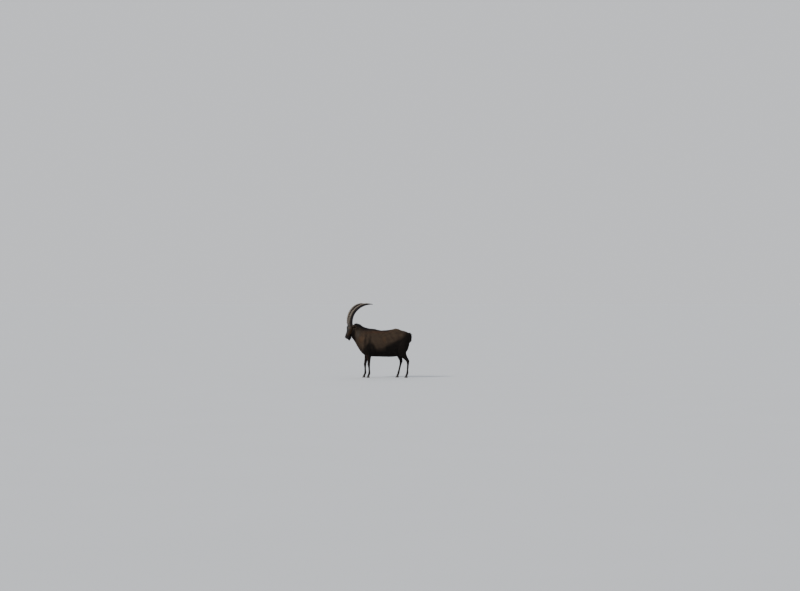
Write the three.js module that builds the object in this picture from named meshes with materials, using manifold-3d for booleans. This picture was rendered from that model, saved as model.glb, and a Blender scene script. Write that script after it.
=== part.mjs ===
// A grown male alpine ibex, life size, standing still on level ground, its head turned a little to its left.
// Millimetres, +Z up. The nose points along -Y and the animal's own left side is +X.
import * as THREE from "three";
import { mergeVertices } from "three/addons/utils/BufferGeometryUtils.js";
import Module from "manifold-3d";

const wasm = await Module();
wasm.setup();

// Gap kept between touching pieces
const gap = 0.3;

// Trunk and neck, from the rump to the nape. Each row is one rib of the trunk in the side view: top y, top z,
// bottom y, bottom z, half width, share of the height where it is widest, roundness above, below, drift to x.
const trunkRibs = [
  [602, 765, 602, 690, 48, 0.5, 2.0, 2.0, 0],
  [590, 820, 586, 600, 92, 0.55, 2.0, 2.0, 0],
  [545, 866, 552, 520, 120, 0.56, 1.95, 2.0, 0],
  [480, 888, 500, 462, 134, 0.56, 1.9, 2.1, 0],
  [415, 907, 430, 426, 142, 0.55, 1.85, 2.2, 0],
  [342, 932, 348, 404, 147, 0.52, 1.8, 2.2, 0],
  [245, 912, 248, 396, 156, 0.48, 1.8, 2.25, 0],
  [140, 899, 140, 396, 166, 0.46, 1.8, 2.3, 0],
  [35, 899, 30, 400, 170, 0.46, 1.8, 2.3, 0],
  [-60, 922, -80, 402, 164, 0.47, 1.75, 2.2, 0],
  [-130, 931, -175, 404, 150, 0.48, 1.7, 2.0, 0],
  [-180, 938, -257, 432, 137, 0.48, 1.7, 1.9, 0],
  [-222, 949, -326, 497, 124, 0.48, 1.75, 1.9, 0],
  [-262, 963, -377, 575, 112, 0.47, 1.8, 1.9, 1],
  [-300, 981, -416, 642, 101, 0.46, 1.85, 1.95, 4],
  [-335, 1003, -447, 698, 92, 0.46, 1.9, 2.0, 8],
  [-368, 1020, -475, 742, 84, 0.46, 2.0, 2.0, 13],
  [-400, 1024, -497, 784, 76, 0.47, 2.0, 2.0, 18],
  [-432, 1028, -502, 834, 64, 0.5, 2.0, 2.0, 22],
  [-462, 1016, -498, 884, 44, 0.5, 2.0, 2.0, 24],
];
const trunkSides = 26;
const ribsBetween = 1.5;

// Head: its long axis is pitched down by nod and it is turned by turn about the neck joint.
const nod = 66;
const turn = 20;
const neckJoint = new THREE.Vector3(20, -470, 960);
const pollOffset = new THREE.Vector3(-20, -25, 42);
// Each row is one section of the head: distance from the poll, brow side, jaw side, widest level, half width,
// roundness above, roundness below.
const headRows = [
  [-8, 28, -62, -18, 36, 2.0, 2.0],
  [2, 42, -78, -18, 54, 2.1, 2.0],
  [20, 52, -90, -14, 65, 2.3, 1.8],
  [42, 59, -97, -4, 69, 2.4, 1.7],
  [66, 62, -99, 8, 70, 2.4, 1.6],
  [90, 58, -94, 12, 68, 2.3, 1.6],
  [114, 49, -86, 10, 60, 2.2, 1.65],
  [140, 41, -77, 2, 49, 2.2, 1.7],
  [168, 36, -68, -4, 41, 2.2, 1.8],
  [196, 33, -60, -8, 37, 2.3, 1.9],
  [222, 32, -54, -8, 36, 2.5, 2.0],
  [243, 30, -51, -8, 37, 2.6, 2.1],
  [258, 27, -48, -8, 37, 2.6, 2.2],
  [269, 21, -42, -9, 34, 2.5, 2.2],
  [277, 11, -33, -11, 27, 2.3, 2.1],
];
const muzzleEnd = 285;
const headSides = 32;
// Soft forms on both cheeks: side, distance from the poll, level, reach, lift.
const headForms = [
  { name: "brow ridge", at: [50, 70, 44], reach: 22, lift: 8 },
  { name: "cheek bone", at: [60, 106, 2], reach: 18, lift: 6 },
  { name: "jaw muscle", at: [52, 64, -50], reach: 34, lift: 6 },
  { name: "hollow before the eye", at: [52, 122, 24], reach: 15, lift: -5 },
  { name: "hollow of the cheek", at: [40, 158, -34], reach: 30, lift: -6 },
  { name: "forehead", at: [0, 62, 60], reach: 34, lift: 6 },
  { name: "nose bridge", at: [0, 205, 34], reach: 34, lift: 3 },
  { name: "nostril wing", at: [25, 262, 14], reach: 11, lift: 5 },
  { name: "upper lip", at: [32, 252, -18], reach: 15, lift: 4 },
  { name: "lower lip", at: [18, 252, -46], reach: 14, lift: 3 },
  { name: "cleft of the lip", at: [0, 281, -14], reach: 8, lift: -4 },
];

// Eye, lids and the almond opening between them
const eyeRadius = 15.5;
const lidThickness = 2.8;
const eyeAt = [57, 84, 22];
const lidOpening = { length: 34, height: 21, tilt: -12 };
const lidReach = 40;

const nostril = { at: [19, 270, 12], length: 10, width: 4, depth: 8 };
const mouth = { corner: 208, front: -27, back: -36, groove: 2.2 };

// Horns: a round arc in the head's own upright plane, drifting outwards towards the tip
const horn = {
  root: [33, -522, 996],
  lean: -12,
  end: 102,
  arcRadius: 331,
  sunk: 34,
  spread: 150,
  depth: [84, 80, 75, 68, 56, 38, 10],
  width: [68, 64, 58, 50, 40, 27, 9],
  knobs: 15,
  knobFrom: 0.05,
  knobTo: 0.84,
  knobHeight: 11,
  sides: 10,
};

// Ears: a leaf rolled into a cup. Half its width and how far it wraps round, in degrees, from root to tip.
const ear = {
  root: [60, 26, -24],
  length: 118,
  halfWidths: [13, 19, 26, 30, 31, 29.5, 25, 17, 4],
  wraps: [160, 148, 132, 116, 104, 95, 88, 82, 76],
  wall: 3,
  across: 6,
};

// Legs: joints in the side view as [y, z], with the distance from the midline at each
const legs = [
  { name: "foreleg_left", fore: true, side: 1, lean: 8 },
  { name: "foreleg_right", fore: true, side: -1, lean: -72 },
  { name: "hindleg_left", fore: false, side: 1, lean: 8 },
  { name: "hindleg_right", fore: false, side: -1, lean: -160 },
];
// Rows from the shoulder or hip down: y, z, distance from the midline, half depth, half width, share of lean.
const foreRows = [
  [-186, 852, 44, 56, 34, 0],
  [-196, 792, 70, 84, 47, 0],
  [-210, 712, 86, 100, 57, 0.02],
  [-216, 630, 93, 100, 60, 0.05],
  [-204, 552, 95, 88, 57, 0.12],
  [-184, 485, 92, 66, 47, 0.25],
  [-177, 430, 87, 50, 39, 0.46],
  [-175, 375, 83, 37, 32, 0.64],
  [-176, 320, 80, 29, 27, 0.78],
  [-178, 280, 78, 26, 25, 0.86],
  [-180, 256, 77, 26.5, 26, 0.9],
  [-178, 226, 77, 21.5, 22, 0.93],
  [-174, 190, 77, 18, 18.5, 0.96],
  [-171, 140, 77, 17.5, 18, 0.98],
  [-169, 104, 77, 21.5, 21, 0.98],
  [-171, 86, 77, 21, 21.5, 1],
  [-179, 64, 77, 18.5, 20.5, 1],
  [-187, 48, 77, 20, 23, 1],
  [-192, 30, 77, 20, 23, 1],
];
const hindRows = [
  [490, 820, 50, 52, 34, 0],
  [492, 765, 72, 88, 48, 0],
  [482, 690, 84, 112, 60, 0.03],
  [464, 615, 88, 114, 64, 0.1],
  [456, 545, 88, 108, 60, 0.2],
  [460, 482, 86, 84, 50, 0.32],
  [482, 430, 84, 60, 40, 0.45],
  [512, 386, 82, 43, 32, 0.58],
  [540, 350, 81, 35, 27, 0.68],
  [556, 322, 80, 32, 25, 0.74],
  [562, 292, 79, 26, 23, 0.79],
  [561, 250, 79, 20, 19.5, 0.84],
  [557, 190, 79, 18.5, 18.5, 0.9],
  [553, 135, 79, 18, 18.5, 0.96],
  [551, 104, 79, 22, 21.5, 0.99],
  [548, 86, 79, 21.5, 22, 1],
  [541, 64, 79, 19, 21, 1],
  [533, 48, 79, 20.5, 23, 1],
  [528, 30, 79, 20.5, 23, 1],
];
const legSides = 14;
// Heights at which a leg is parted, the first just under the body and the second under the knee or the hock
const foreCuts = [462, 236];
const hindCuts = [452, 300];

// Hooves: two claws to a foot, parted by a cleft
const hoof = {
  length: 68,
  halfWidth: 13,
  cleft: 5,
  front: 44,
  heel: 30,
  forward: 6,
  slope: 0.18,
  drawnIn: 0.46,
  narrowed: 0.14,
  toe: 0.55,
  levels: [0, 6, 20, 34, 48],
  sides: 14,
};
const dewclaw = { length: 26, radius: 8, height: 74, apart: 13, behind: 38, tilt: 28 };

// Tail and beard
const tailRows = [
  [560, 842, 24, 17],
  [588, 834, 29, 18],
  [608, 808, 28, 15],
  [616, 772, 26, 13],
  [617, 734, 20, 11],
  [612, 702, 9, 6],
];
// The beard's keel under the jaw: distance from the poll, level and half width of each section. Then its rows
// of locks: where along the keel from 0 to 1, half the spread across it, how many and how long.
const beard = {
  keel: [
    [170, -65, 6],
    [190, -61, 10],
    [214, -56, 14],
    [238, -51, 16],
    [258, -46, 12],
  ],
  keelDepth: 11,
  width: 15,
  thick: 5.6,
  sunk: 10,
  seed: 11,
  rows: [
    { at: 0.06, span: 3, count: 2, length: 60 },
    { at: 0.22, span: 8, count: 2, length: 68 },
    { at: 0.42, span: 11, count: 3, length: 68 },
    { at: 0.6, span: 14, count: 4, length: 65 },
    { at: 0.8, span: 14, count: 4, length: 62 },
    { at: 0.96, span: 10, count: 3, length: 52 },
  ],
};

const colours = {
  coat: 0x3c3027,
  coatDark: 0x2a221d,
  face: 0x4a3b2f,
  horn: 0x6d5f4e,
  hoof: 0x2b2723,
  eye: 0x8a6a2c,
  beard: 0x2c231d,
};

function finish(name, roughness) {
  return new THREE.MeshStandardMaterial({ color: colours[name], roughness, metalness: 0 });
}

// Table rows and curves

function catmull(a, b, c, d, f) {
  const m0 = (c - a) / 2;
  const m1 = (d - b) / 2;
  const f2 = f * f;
  const f3 = f2 * f;
  return (2 * f3 - 3 * f2 + 1) * b + (f3 - 2 * f2 + f) * m0 + (3 * f2 - 2 * f3) * c + (f3 - f2) * m1;
}

// A smooth row between the rows of a table, at from 0 to rows.length - 1
function rowAt(rows, at) {
  const last = rows.length - 1;
  const i = Math.min(Math.floor(at), last - 1);
  const pick = (k) => rows[Math.min(Math.max(k, 0), last)];
  return rows[i].map((_, j) => catmull(pick(i - 1)[j], pick(i)[j], pick(i + 1)[j], pick(i + 2)[j], at - i));
}

// The rows of a table with between steps from each row to the next
function steps(rows, between) {
  const count = Math.round((rows.length - 1) * between);
  return Array.from({ length: count + 1 }, (_, k) => rowAt(rows, (k * (rows.length - 1)) / count));
}

// Rounded outline around a centre: rise and drop along up, half along side, n = 2 for an ellipse
function outline(centre, up, side, { rise, drop, half, above = 2, below = 2, count }) {
  const points = [];
  for (let i = 0; i < count; i++) {
    const a = (i / count) * 2 * Math.PI;
    const n = Math.cos(a) >= 0 ? above : below;
    const bend = (v) => Math.sign(v) * Math.abs(v) ** (2 / n);
    const high = (Math.cos(a) >= 0 ? rise : drop) * bend(Math.cos(a));
    points.push(
      centre
        .clone()
        .addScaledVector(up, high)
        .addScaledVector(side, half * bend(Math.sin(a))),
    );
  }
  return points;
}

// Closed surface through rings of equal count. Each end is drawn to a point, or, where there is none,
// zipped across between the two halves of its ring.
function loft(rings, start, end) {
  const count = rings[0].length;
  const points = rings.flat();
  const index = [];
  for (let r = 0; r + 1 < rings.length; r++) {
    for (let i = 0; i < count; i++) {
      const a = r * count + i;
      const b = r * count + ((i + 1) % count);
      index.push(a, b, b + count, a, b + count, a + count);
    }
  }
  const close = (first, point, face) => {
    if (!point) {
      for (let i = 0; i + 1 < count / 2; i++) {
        const across = count - 1 - i;
        index.push(...face(first + i, first + across, first + i + 1));
        index.push(...face(first + i + 1, first + across, first + across - 1));
      }
      return;
    }
    points.push(point);
    const tip = points.length - 1;
    for (let i = 0; i < count; i++) index.push(...face(tip, first + ((i + 1) % count), first + i));
  };
  close(0, start, (a, b, c) => [a, b, c]);
  close((rings.length - 1) * count, end, (a, b, c) => [a, c, b]);
  return new THREE.BufferGeometry().setFromPoints(points).setIndex(index);
}

function middle(points) {
  return points.reduce((sum, p) => sum.add(p), new THREE.Vector3()).divideScalar(points.length);
}

// Solids

function manifoldOf(positions, index) {
  return new wasm.Manifold(new wasm.Mesh({ numProp: 3, vertProperties: positions, triVerts: index }));
}

function solid(geometry) {
  const bare = geometry.clone();
  bare.deleteAttribute("normal");
  bare.deleteAttribute("uv");
  const merged = mergeVertices(bare, 1e-3);
  const index = new Uint32Array(merged.index.array);
  const made = manifoldOf(merged.attributes.position.array, index);
  if (made.volume() > 0) return made;
  for (let i = 0; i < index.length; i += 3) [index[i + 1], index[i + 2]] = [index[i + 2], index[i + 1]];
  return manifoldOf(merged.attributes.position.array, index);
}

function bufferOf(shape) {
  const mesh = shape.getMesh();
  const positions = new Float32Array(mesh.numVert * 3);
  for (let i = 0; i < mesh.numVert; i++) {
    positions.set(mesh.vertProperties.subarray(i * mesh.numProp, i * mesh.numProp + 3), i * 3);
  }
  return new THREE.BufferGeometry()
    .setAttribute("position", new THREE.BufferAttribute(positions, 3))
    .setIndex(new THREE.BufferAttribute(new Uint32Array(mesh.triVerts), 1));
}

// The same solid with its skin moved out by reach along its normals
function grown(shape, reach = gap + 0.1) {
  const geometry = bufferOf(shape);
  geometry.computeVertexNormals();
  const place = geometry.attributes.position;
  const normal = geometry.attributes.normal;
  for (let i = 0; i < place.count; i++) {
    place.setXYZ(
      i,
      place.getX(i) + reach * normal.getX(i),
      place.getY(i) + reach * normal.getY(i),
      place.getZ(i) + reach * normal.getZ(i),
    );
  }
  return manifoldOf(place.array, new Uint32Array(geometry.index.array));
}

const largest = (shape) => shape.decompose().sort((a, b) => b.volume() - a.volume())[0];

const without = (shape, ...others) => others.reduce((rest, other) => rest.subtract(other), shape);

const ibex = new THREE.Group();

// Detail finer than this is dropped, from the whole forms first and then from each finished node
const finestForm = 0.4;
const finest = 0.08;

function addNode(name, shape, material) {
  const mesh = new THREE.Mesh(bufferOf(largest(shape.simplify(finest))), material);
  mesh.name = name;
  ibex.add(mesh);
}

// Trunk

const sideways = new THREE.Vector3(1, 0, 0);

function trunkRing([topY, topZ, lowY, lowZ, half, widest, above, below, drift]) {
  const top = new THREE.Vector3(drift, topY, topZ);
  const low = new THREE.Vector3(drift, lowY, lowZ);
  const up = top.clone().sub(low);
  const height = up.length();
  const centre = low.clone().addScaledVector(up, widest);
  up.normalize();
  const shape = { rise: height * (1 - widest), drop: height * widest, half, above, below, count: trunkSides };
  return outline(centre, up, sideways, shape);
}

function makeTrunk() {
  const rings = steps(trunkRibs, ribsBetween).map(trunkRing);
  const rumpEnd = middle(rings[0]).add(new THREE.Vector3(0, 6, 0));
  const napeEnd = middle(rings.at(-1)).add(new THREE.Vector3(0, -8, 0));
  return solid(loft(rings, rumpEnd, napeEnd)).simplify(finestForm);
}

// Head

const radians = THREE.MathUtils.degToRad;
const turned = (v) => v.clone().applyAxisAngle(new THREE.Vector3(0, 0, 1), radians(turn));
const alongFace = turned(new THREE.Vector3(0, -Math.cos(radians(nod)), -Math.sin(radians(nod))));
const crown = turned(new THREE.Vector3(0, -Math.sin(radians(nod)), Math.cos(radians(nod))));
const acrossFace = turned(sideways);
const backwards = turned(new THREE.Vector3(0, 1, 0));
const upwards = new THREE.Vector3(0, 0, 1);
const poll = neckJoint.clone().add(turned(pollOffset));

// A point of the head from its own side, distance from the poll and level
const face = (side, along, level) =>
  poll
    .clone()
    .addScaledVector(acrossFace, side)
    .addScaledVector(alongFace, along)
    .addScaledVector(crown, level);

// A head section in its own coordinates, with the soft forms laid on
function headRing([along, brow, jaw, widest, half, above, below]) {
  const centre = new THREE.Vector3(0, along, widest);
  const shape = { rise: brow - widest, drop: widest - jaw, half, above, below, count: headSides };
  const ring = outline(centre, new THREE.Vector3(0, 0, 1), sideways, shape);
  return ring.map((p) => {
    const out = p.clone().sub(centre).normalize();
    const lift = headForms.reduce((sum, form) => {
      const [x, y, z] = form.at;
      const far2 = (Math.abs(p.x) - x) ** 2 + (p.y - y) ** 2 + (p.z - z) ** 2;
      return sum + form.lift * Math.exp(-far2 / form.reach ** 2);
    }, 0);
    return p.addScaledVector(out, lift);
  });
}

const toHead = (p) => face(p.x, p.y, p.z);

// Axes of the head as a matrix, for pieces modelled in its own coordinates
function headMatrix(side, along, level) {
  const at = face(side, along, level);
  return new THREE.Matrix4().makeBasis(acrossFace, alongFace, crown).setPosition(at);
}

function eyeBall(side, radius) {
  const ball = new THREE.SphereGeometry(radius, 14, 9).applyMatrix4(
    headMatrix(side * eyeAt[0], eyeAt[1], eyeAt[2]),
  );
  return solid(ball);
}

// The almond between the lids, as a prism that runs outwards from the middle of the eye
function lidGap(side) {
  const { length, height, tilt } = lidOpening;
  const almond = new THREE.Shape();
  almond.moveTo(-length / 2, 0);
  almond.quadraticCurveTo(0, height, length / 2, 0);
  almond.quadraticCurveTo(0, -height, -length / 2, 0);
  const prism = new THREE.ExtrudeGeometry(almond, { depth: lidReach, bevelEnabled: false, curveSegments: 7 });
  prism.rotateZ(radians(-side * tilt));
  const out = acrossFace.clone().multiplyScalar(side);
  const flat = alongFace.clone();
  const up = out.clone().cross(flat);
  const at = face(side * eyeAt[0], eyeAt[1], eyeAt[2]);
  prism.applyMatrix4(new THREE.Matrix4().makeBasis(flat, up, out).setPosition(at));
  return solid(prism);
}

function nostrilPit(side) {
  const pit = new THREE.SphereGeometry(1, 12, 8).scale(nostril.width, nostril.length, nostril.depth);
  pit.rotateY(radians(side * 50));
  pit.rotateZ(radians(side * 18));
  pit.applyMatrix4(headMatrix(side * nostril.at[0], nostril.at[1], nostril.at[2]));
  return solid(pit);
}

function makeHead() {
  const rings = steps(headRows, 1.6).map((row) => headRing(row).map(toHead));
  const back = middle(rings[0]).addScaledVector(alongFace, -5);
  const tip = face(0, muzzleEnd, -15);
  let head = solid(loft(rings, back, tip));
  for (const side of [1, -1]) {
    head = head.add(eyeBall(side, eyeRadius + gap + lidThickness));
  }
  for (const side of [1, -1]) {
    head = without(head, eyeBall(side, eyeRadius + gap), lidGap(side), nostrilPit(side));
  }
  return without(head, mouthGroove()).simplify(finestForm);
}

// The point on the skin of the head at a distance from the poll and a level, on the side x > 0
function headSkin(along, level) {
  const next = headRows.findIndex((row) => row[0] >= along);
  const [from, to] = [headRows[next - 1][0], headRows[next][0]];
  const ring = headRing(rowAt(headRows, next - 1 + (along - from) / (to - from)));
  const side = ring.slice(0, headSides / 2 + 1);
  const i = side.findIndex((p) => p.z < level);
  const share = (side[i - 1].z - level) / (side[i - 1].z - side[i].z);
  return side[i - 1].clone().lerp(side[i], share);
}

// The line of the mouth: a fine groove from one corner round the front to the other
function mouthGroove() {
  const stops = [270, 260, 247, 234, 221, mouth.corner];
  const levelAt = (k) => mouth.front + (mouth.back - mouth.front) * (k / (stops.length - 1));
  const half = stops.map((along, k) => headSkin(along, levelAt(k)));
  const front = [new THREE.Vector3(0, 280, mouth.front), new THREE.Vector3(14, 277.5, mouth.front)];
  const right = [front[1], ...half];
  const left = right.map((p) => new THREE.Vector3(-p.x, p.y, p.z)).reverse();
  const line = new THREE.CatmullRomCurve3([...left, front[0], ...right].map(toHead));
  const round = new THREE.Shape().absarc(0, 0, mouth.groove, 0, 2 * Math.PI);
  const sweep = { extrudePath: line, steps: 26, curveSegments: 2, bevelEnabled: false };
  return solid(new THREE.ExtrudeGeometry(round, sweep));
}

// Horns

function spread(values, u) {
  return rowAt(values.map((v) => [v]), u * (values.length - 1))[0];
}

function hornRing(side, u, knob) {
  const lean = radians(horn.lean);
  const phi = lean + (radians(horn.end) - lean) * u;
  const back = horn.arcRadius * (Math.cos(lean) - Math.cos(phi));
  const high = horn.arcRadius * (Math.sin(phi) - Math.sin(lean));
  const out = horn.root[0] + horn.spread * Math.max(u, 0) ** 1.15;
  const rootInHead = new THREE.Vector3(pollOffset.x, horn.root[1] - neckJoint.y, horn.root[2] - neckJoint.z);
  const centre = neckJoint
    .clone()
    .add(turned(rootInHead))
    .addScaledVector(acrossFace, side * out)
    .addScaledVector(backwards, back)
    .addScaledVector(upwards, high);
  const front = backwards.clone().multiplyScalar(-Math.cos(phi)).addScaledVector(upwards, Math.sin(phi));
  const depth = spread(horn.depth, Math.max(u, 0)) / 2;
  const width = spread(horn.width, Math.max(u, 0)) / 2;
  const shape = { rise: depth, drop: depth, half: width, above: 3.0, below: 2.3, count: horn.sides };
  return outline(centre, front, acrossFace.clone().multiplyScalar(side), shape).map((p) => {
    const ahead = p.clone().sub(centre).dot(front) / depth;
    const narrow = 0.84 + 0.16 * ahead;
    const across = p.clone().sub(centre).dot(acrossFace);
    p.addScaledVector(acrossFace, across * (narrow - 1));
    const lift = knob * THREE.MathUtils.smoothstep(ahead, -0.1, 0.75);
    return p.addScaledVector(front, lift).addScaledVector(acrossFace, (across / width) * lift * 0.35);
  });
}

function makeHorn(side) {
  const arcLength = horn.arcRadius * radians(horn.end - horn.lean);
  const rings = [hornRing(side, -horn.sunk / arcLength, 0), hornRing(side, 0, 0)];
  const length = horn.knobTo - horn.knobFrom;
  for (let k = 0; k < horn.knobs; k++) {
    const from = horn.knobFrom + length * (k / horn.knobs) ** 0.94;
    const to = horn.knobFrom + length * ((k + 1) / horn.knobs) ** 0.94;
    const size = horn.knobHeight * (1 - 0.6 * (k / horn.knobs) ** 1.5) * (0.85 + 0.15 * Math.cos(k * 2.3));
    rings.push(hornRing(side, from, 0));
    rings.push(hornRing(side, from + (to - from) * 0.36, size));
    rings.push(hornRing(side, from + (to - from) * 0.66, size * 0.8));
  }
  for (const u of [horn.knobTo, 0.88, 0.92, 0.96, 0.99]) rings.push(hornRing(side, u, 0));
  const tip = middle(hornRing(side, 1.004, 0));
  return solid(loft(rings, middle(rings[0]), tip));
}

// Ears

function makeEar(side) {
  const root = face(side * ear.root[0], ear.root[1], ear.root[2]);
  const axis = turned(new THREE.Vector3(side * 0.94, 0.26, 0.06)).normalize();
  const back = turned(new THREE.Vector3(side * -0.35, 0.55, 0.5));
  back.addScaledVector(axis, -back.dot(axis)).normalize();
  const wide = axis.clone().cross(back).normalize();
  const rings = ear.halfWidths.map((half, r) => {
    const u = r / (ear.halfWidths.length - 1);
    const wrap = radians(ear.wraps[r]);
    const radius = half / Math.sin(Math.min(wrap, Math.PI / 2));
    const centre = root
      .clone()
      .addScaledVector(axis, ear.length * Math.sin(u * Math.PI / 2) ** 0.9)
      .addScaledVector(back, 12 - radius - 16 * u * u);
    const ring = [];
    const lay = (angle, reach) =>
      ring.push(
        centre
          .clone()
          .addScaledVector(wide, reach * Math.sin(angle))
          .addScaledVector(back, reach * Math.cos(angle)),
      );
    const inner = Math.max(radius - ear.wall, radius * 0.45);
    for (let i = 0; i <= ear.across; i++) lay(-wrap + (2 * wrap * i) / ear.across, radius);
    for (let i = ear.across; i >= 0; i--) lay(-wrap + (2 * wrap * i) / ear.across, inner);
    return ring;
  });
  const leaf = solid(loft(rings));
  const bulb = new THREE.SphereGeometry(18, 10, 7).translate(...root.toArray());
  return leaf.add(solid(bulb)).simplify(finestForm);
}

// Legs

function legRing(rows, at, leg) {
  const [y, z, out, deep, half, share] = rowAt(rows, at);
  const ahead = rowAt(rows, Math.min(at + 0.5, rows.length - 1));
  const behind = rowAt(rows, Math.max(at - 0.5, 0));
  const spot = (row) => new THREE.Vector3(leg.side * row[2], row[0] + leg.lean * row[5], row[1]);
  const along = spot(ahead).sub(spot(behind));
  along.x = 0;
  const front = new THREE.Vector3(0, along.z, -along.y).normalize();
  const level = 1 - THREE.MathUtils.smoothstep(z, 20, 70);
  front.lerp(new THREE.Vector3(0, -1, 0), level).normalize();
  const centre = spot([y, z, out, deep, half, share]);
  const shape = { rise: deep, drop: deep, half, above: 2.1, below: 2.1, count: legSides };
  return outline(centre, front, sideways, shape);
}

function makeLeg(leg) {
  const rows = leg.fore ? foreRows : hindRows;
  const last = rows.length - 1;
  const count = Math.round(last * ribsBetween);
  const rings = Array.from({ length: count + 1 }, (_, k) => legRing(rows, (k * last) / count, leg));
  const top = middle(rings[0]).add(new THREE.Vector3(0, 0, 12));
  return solid(loft(rings, top, middle(rings.at(-1)))).simplify(finestForm);
}

// A claw: stacked outlines of the sole, drawn back and in towards the coronet
function makeClaw(footX, footY, inward) {
  const rings = [];
  for (const z of hoof.levels) {
    const up = z / hoof.front;
    const length = hoof.length * (1 - hoof.drawnIn * up);
    const half = hoof.halfWidth * (1 - hoof.narrowed * up) * (z === 0 ? 0.94 : 1);
    const ring = [];
    for (let i = 0; i < hoof.sides; i++) {
      const a = (i / hoof.sides) * 2 * Math.PI;
      const ahead = Math.cos(a);
      const taper = ahead > 0 ? 1 - hoof.toe * ahead ** 2.4 : 1;
      const y = -(length / 2) * ahead + hoof.slope * z;
      const x = half * Math.sign(Math.sin(a)) * Math.abs(Math.sin(a)) ** 0.8 * taper;
      ring.push(new THREE.Vector3(footX + x + inward * 3 * Math.max(0, ahead), footY + y, z));
    }
    rings.push(ring);
  }
  return solid(loft(rings, middle(rings[0]), middle(rings.at(-1))));
}

function makeDewclaw(footX, backY, outward) {
  const nub = new THREE.SphereGeometry(1, 8, 6);
  nub.scale(dewclaw.radius, dewclaw.radius * 0.9, dewclaw.length / 2);
  nub.rotateX(radians(dewclaw.tilt));
  nub.translate(footX + outward * dewclaw.apart, backY, dewclaw.height);
  return solid(nub);
}

// A slanted slice level that follows the coronet: front high, heel low
function coronetPlane(footY) {
  const rise = (hoof.front - hoof.heel) / hoof.length;
  const normal = new THREE.Vector3(0, rise, 1).normalize();
  const point = new THREE.Vector3(0, footY, (hoof.front + hoof.heel) / 2);
  return { normal: normal.toArray(), offset: normal.dot(point), reversed: normal.clone().negate().toArray() };
}

const above = (shape, z) => shape.trimByPlane([0, 0, 1], z);
const below = (shape, z) => shape.trimByPlane([0, 0, -1], -z);

function addLeg(leg, whole) {
  const cuts = leg.fore ? foreCuts : hindCuts;
  const names = leg.fore ? ["shoulder", "forearm", "cannon"] : ["thigh", "gaskin", "cannon"];
  const rows = leg.fore ? foreRows : hindRows;
  const [footY, , footX] = rows.at(-1);
  const footPlace = [leg.side * footX, footY + leg.lean - hoof.forward];
  const plane = coronetPlane(footPlace[1]);
  const coat = finish("coat", 0.9);
  const shank = whole.trimByPlane(plane.normal, plane.offset + gap);
  addNode(`${leg.name}_${names[0]}`, above(whole, cuts[0] + gap / 2), coat);
  addNode(`${leg.name}_${names[1]}`, above(below(whole, cuts[0] - gap / 2), cuts[1] + gap / 2), coat);
  addNode(`${leg.name}_${names[2]}`, below(shank, cuts[1] - gap / 2), finish("coatDark", 0.9));
  const place = `${leg.name.replace("leg", "").replace("fore", "front")}`;
  for (const [label, inward] of [
    ["outer", -1],
    ["inner", 1],
  ]) {
    const shift = leg.side * -inward * (hoof.halfWidth + hoof.cleft / 2);
    const claw = makeClaw(footPlace[0] + shift, footPlace[1], leg.side * inward);
    addNode(`hoof_${place}_${label}`, claw.trimByPlane(plane.reversed, -plane.offset), finish("hoof", 0.55));
    const nub = makeDewclaw(footPlace[0], footPlace[1] + dewclaw.behind, Math.sign(shift));
    addNode(`dewclaw_${place}_${label}`, without(nub, grown(whole)), finish("hoof", 0.6));
  }
}

// Tail

function makeTail() {
  const rings = steps(tailRows, 1.6).map(([y, z, half, deep], k, all) => {
    const next = all[Math.min(k + 1, all.length - 1)];
    const last = all[Math.max(k - 1, 0)];
    const along = new THREE.Vector3(0, next[0] - last[0], next[1] - last[1]).normalize();
    const up = new THREE.Vector3(0, -along.z, along.y);
    return outline(new THREE.Vector3(0, y, z), up, sideways, { rise: deep, drop: deep, half, count: 12 });
  });
  return solid(loft(rings, middle(rings[0]), middle(rings.at(-1)).add(new THREE.Vector3(0, -1, -8))));
}

// Hair locks

// A repeatable run of numbers between -1 and 1
function wobble(seed) {
  let state = seed;
  return () => {
    state = (state * 16807) % 2147483647;
    return (2 * state) / 2147483647 - 1;
  };
}

// A flat, tapered lock that leaves its root along one direction and bends over towards another
function lock({ root, along, bend, flat, length, width, thick, sunk }) {
  const stops = [-sunk / length, 0.18, 0.48, 0.78];
  const swell = [0.7, 1, 0.86, 0.5];
  const path = (u) => {
    const v = Math.max(u, 0);
    return root
      .clone()
      .addScaledVector(along, length * u)
      .addScaledVector(bend, length * 0.32 * v * v);
  };
  const rings = stops.map((u, k) => {
    const tangent = path(u + 0.05).sub(path(u)).normalize();
    const side = flat.clone().addScaledVector(tangent, -flat.dot(tangent)).normalize();
    const face = tangent.clone().cross(side);
    const deep = (thick / 2) * swell[k];
    return outline(path(u), face, side, { rise: deep, drop: deep, half: (width / 2) * swell[k], count: 4 });
  });
  return solid(loft(rings, middle(rings[0]), path(1)));
}

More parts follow.
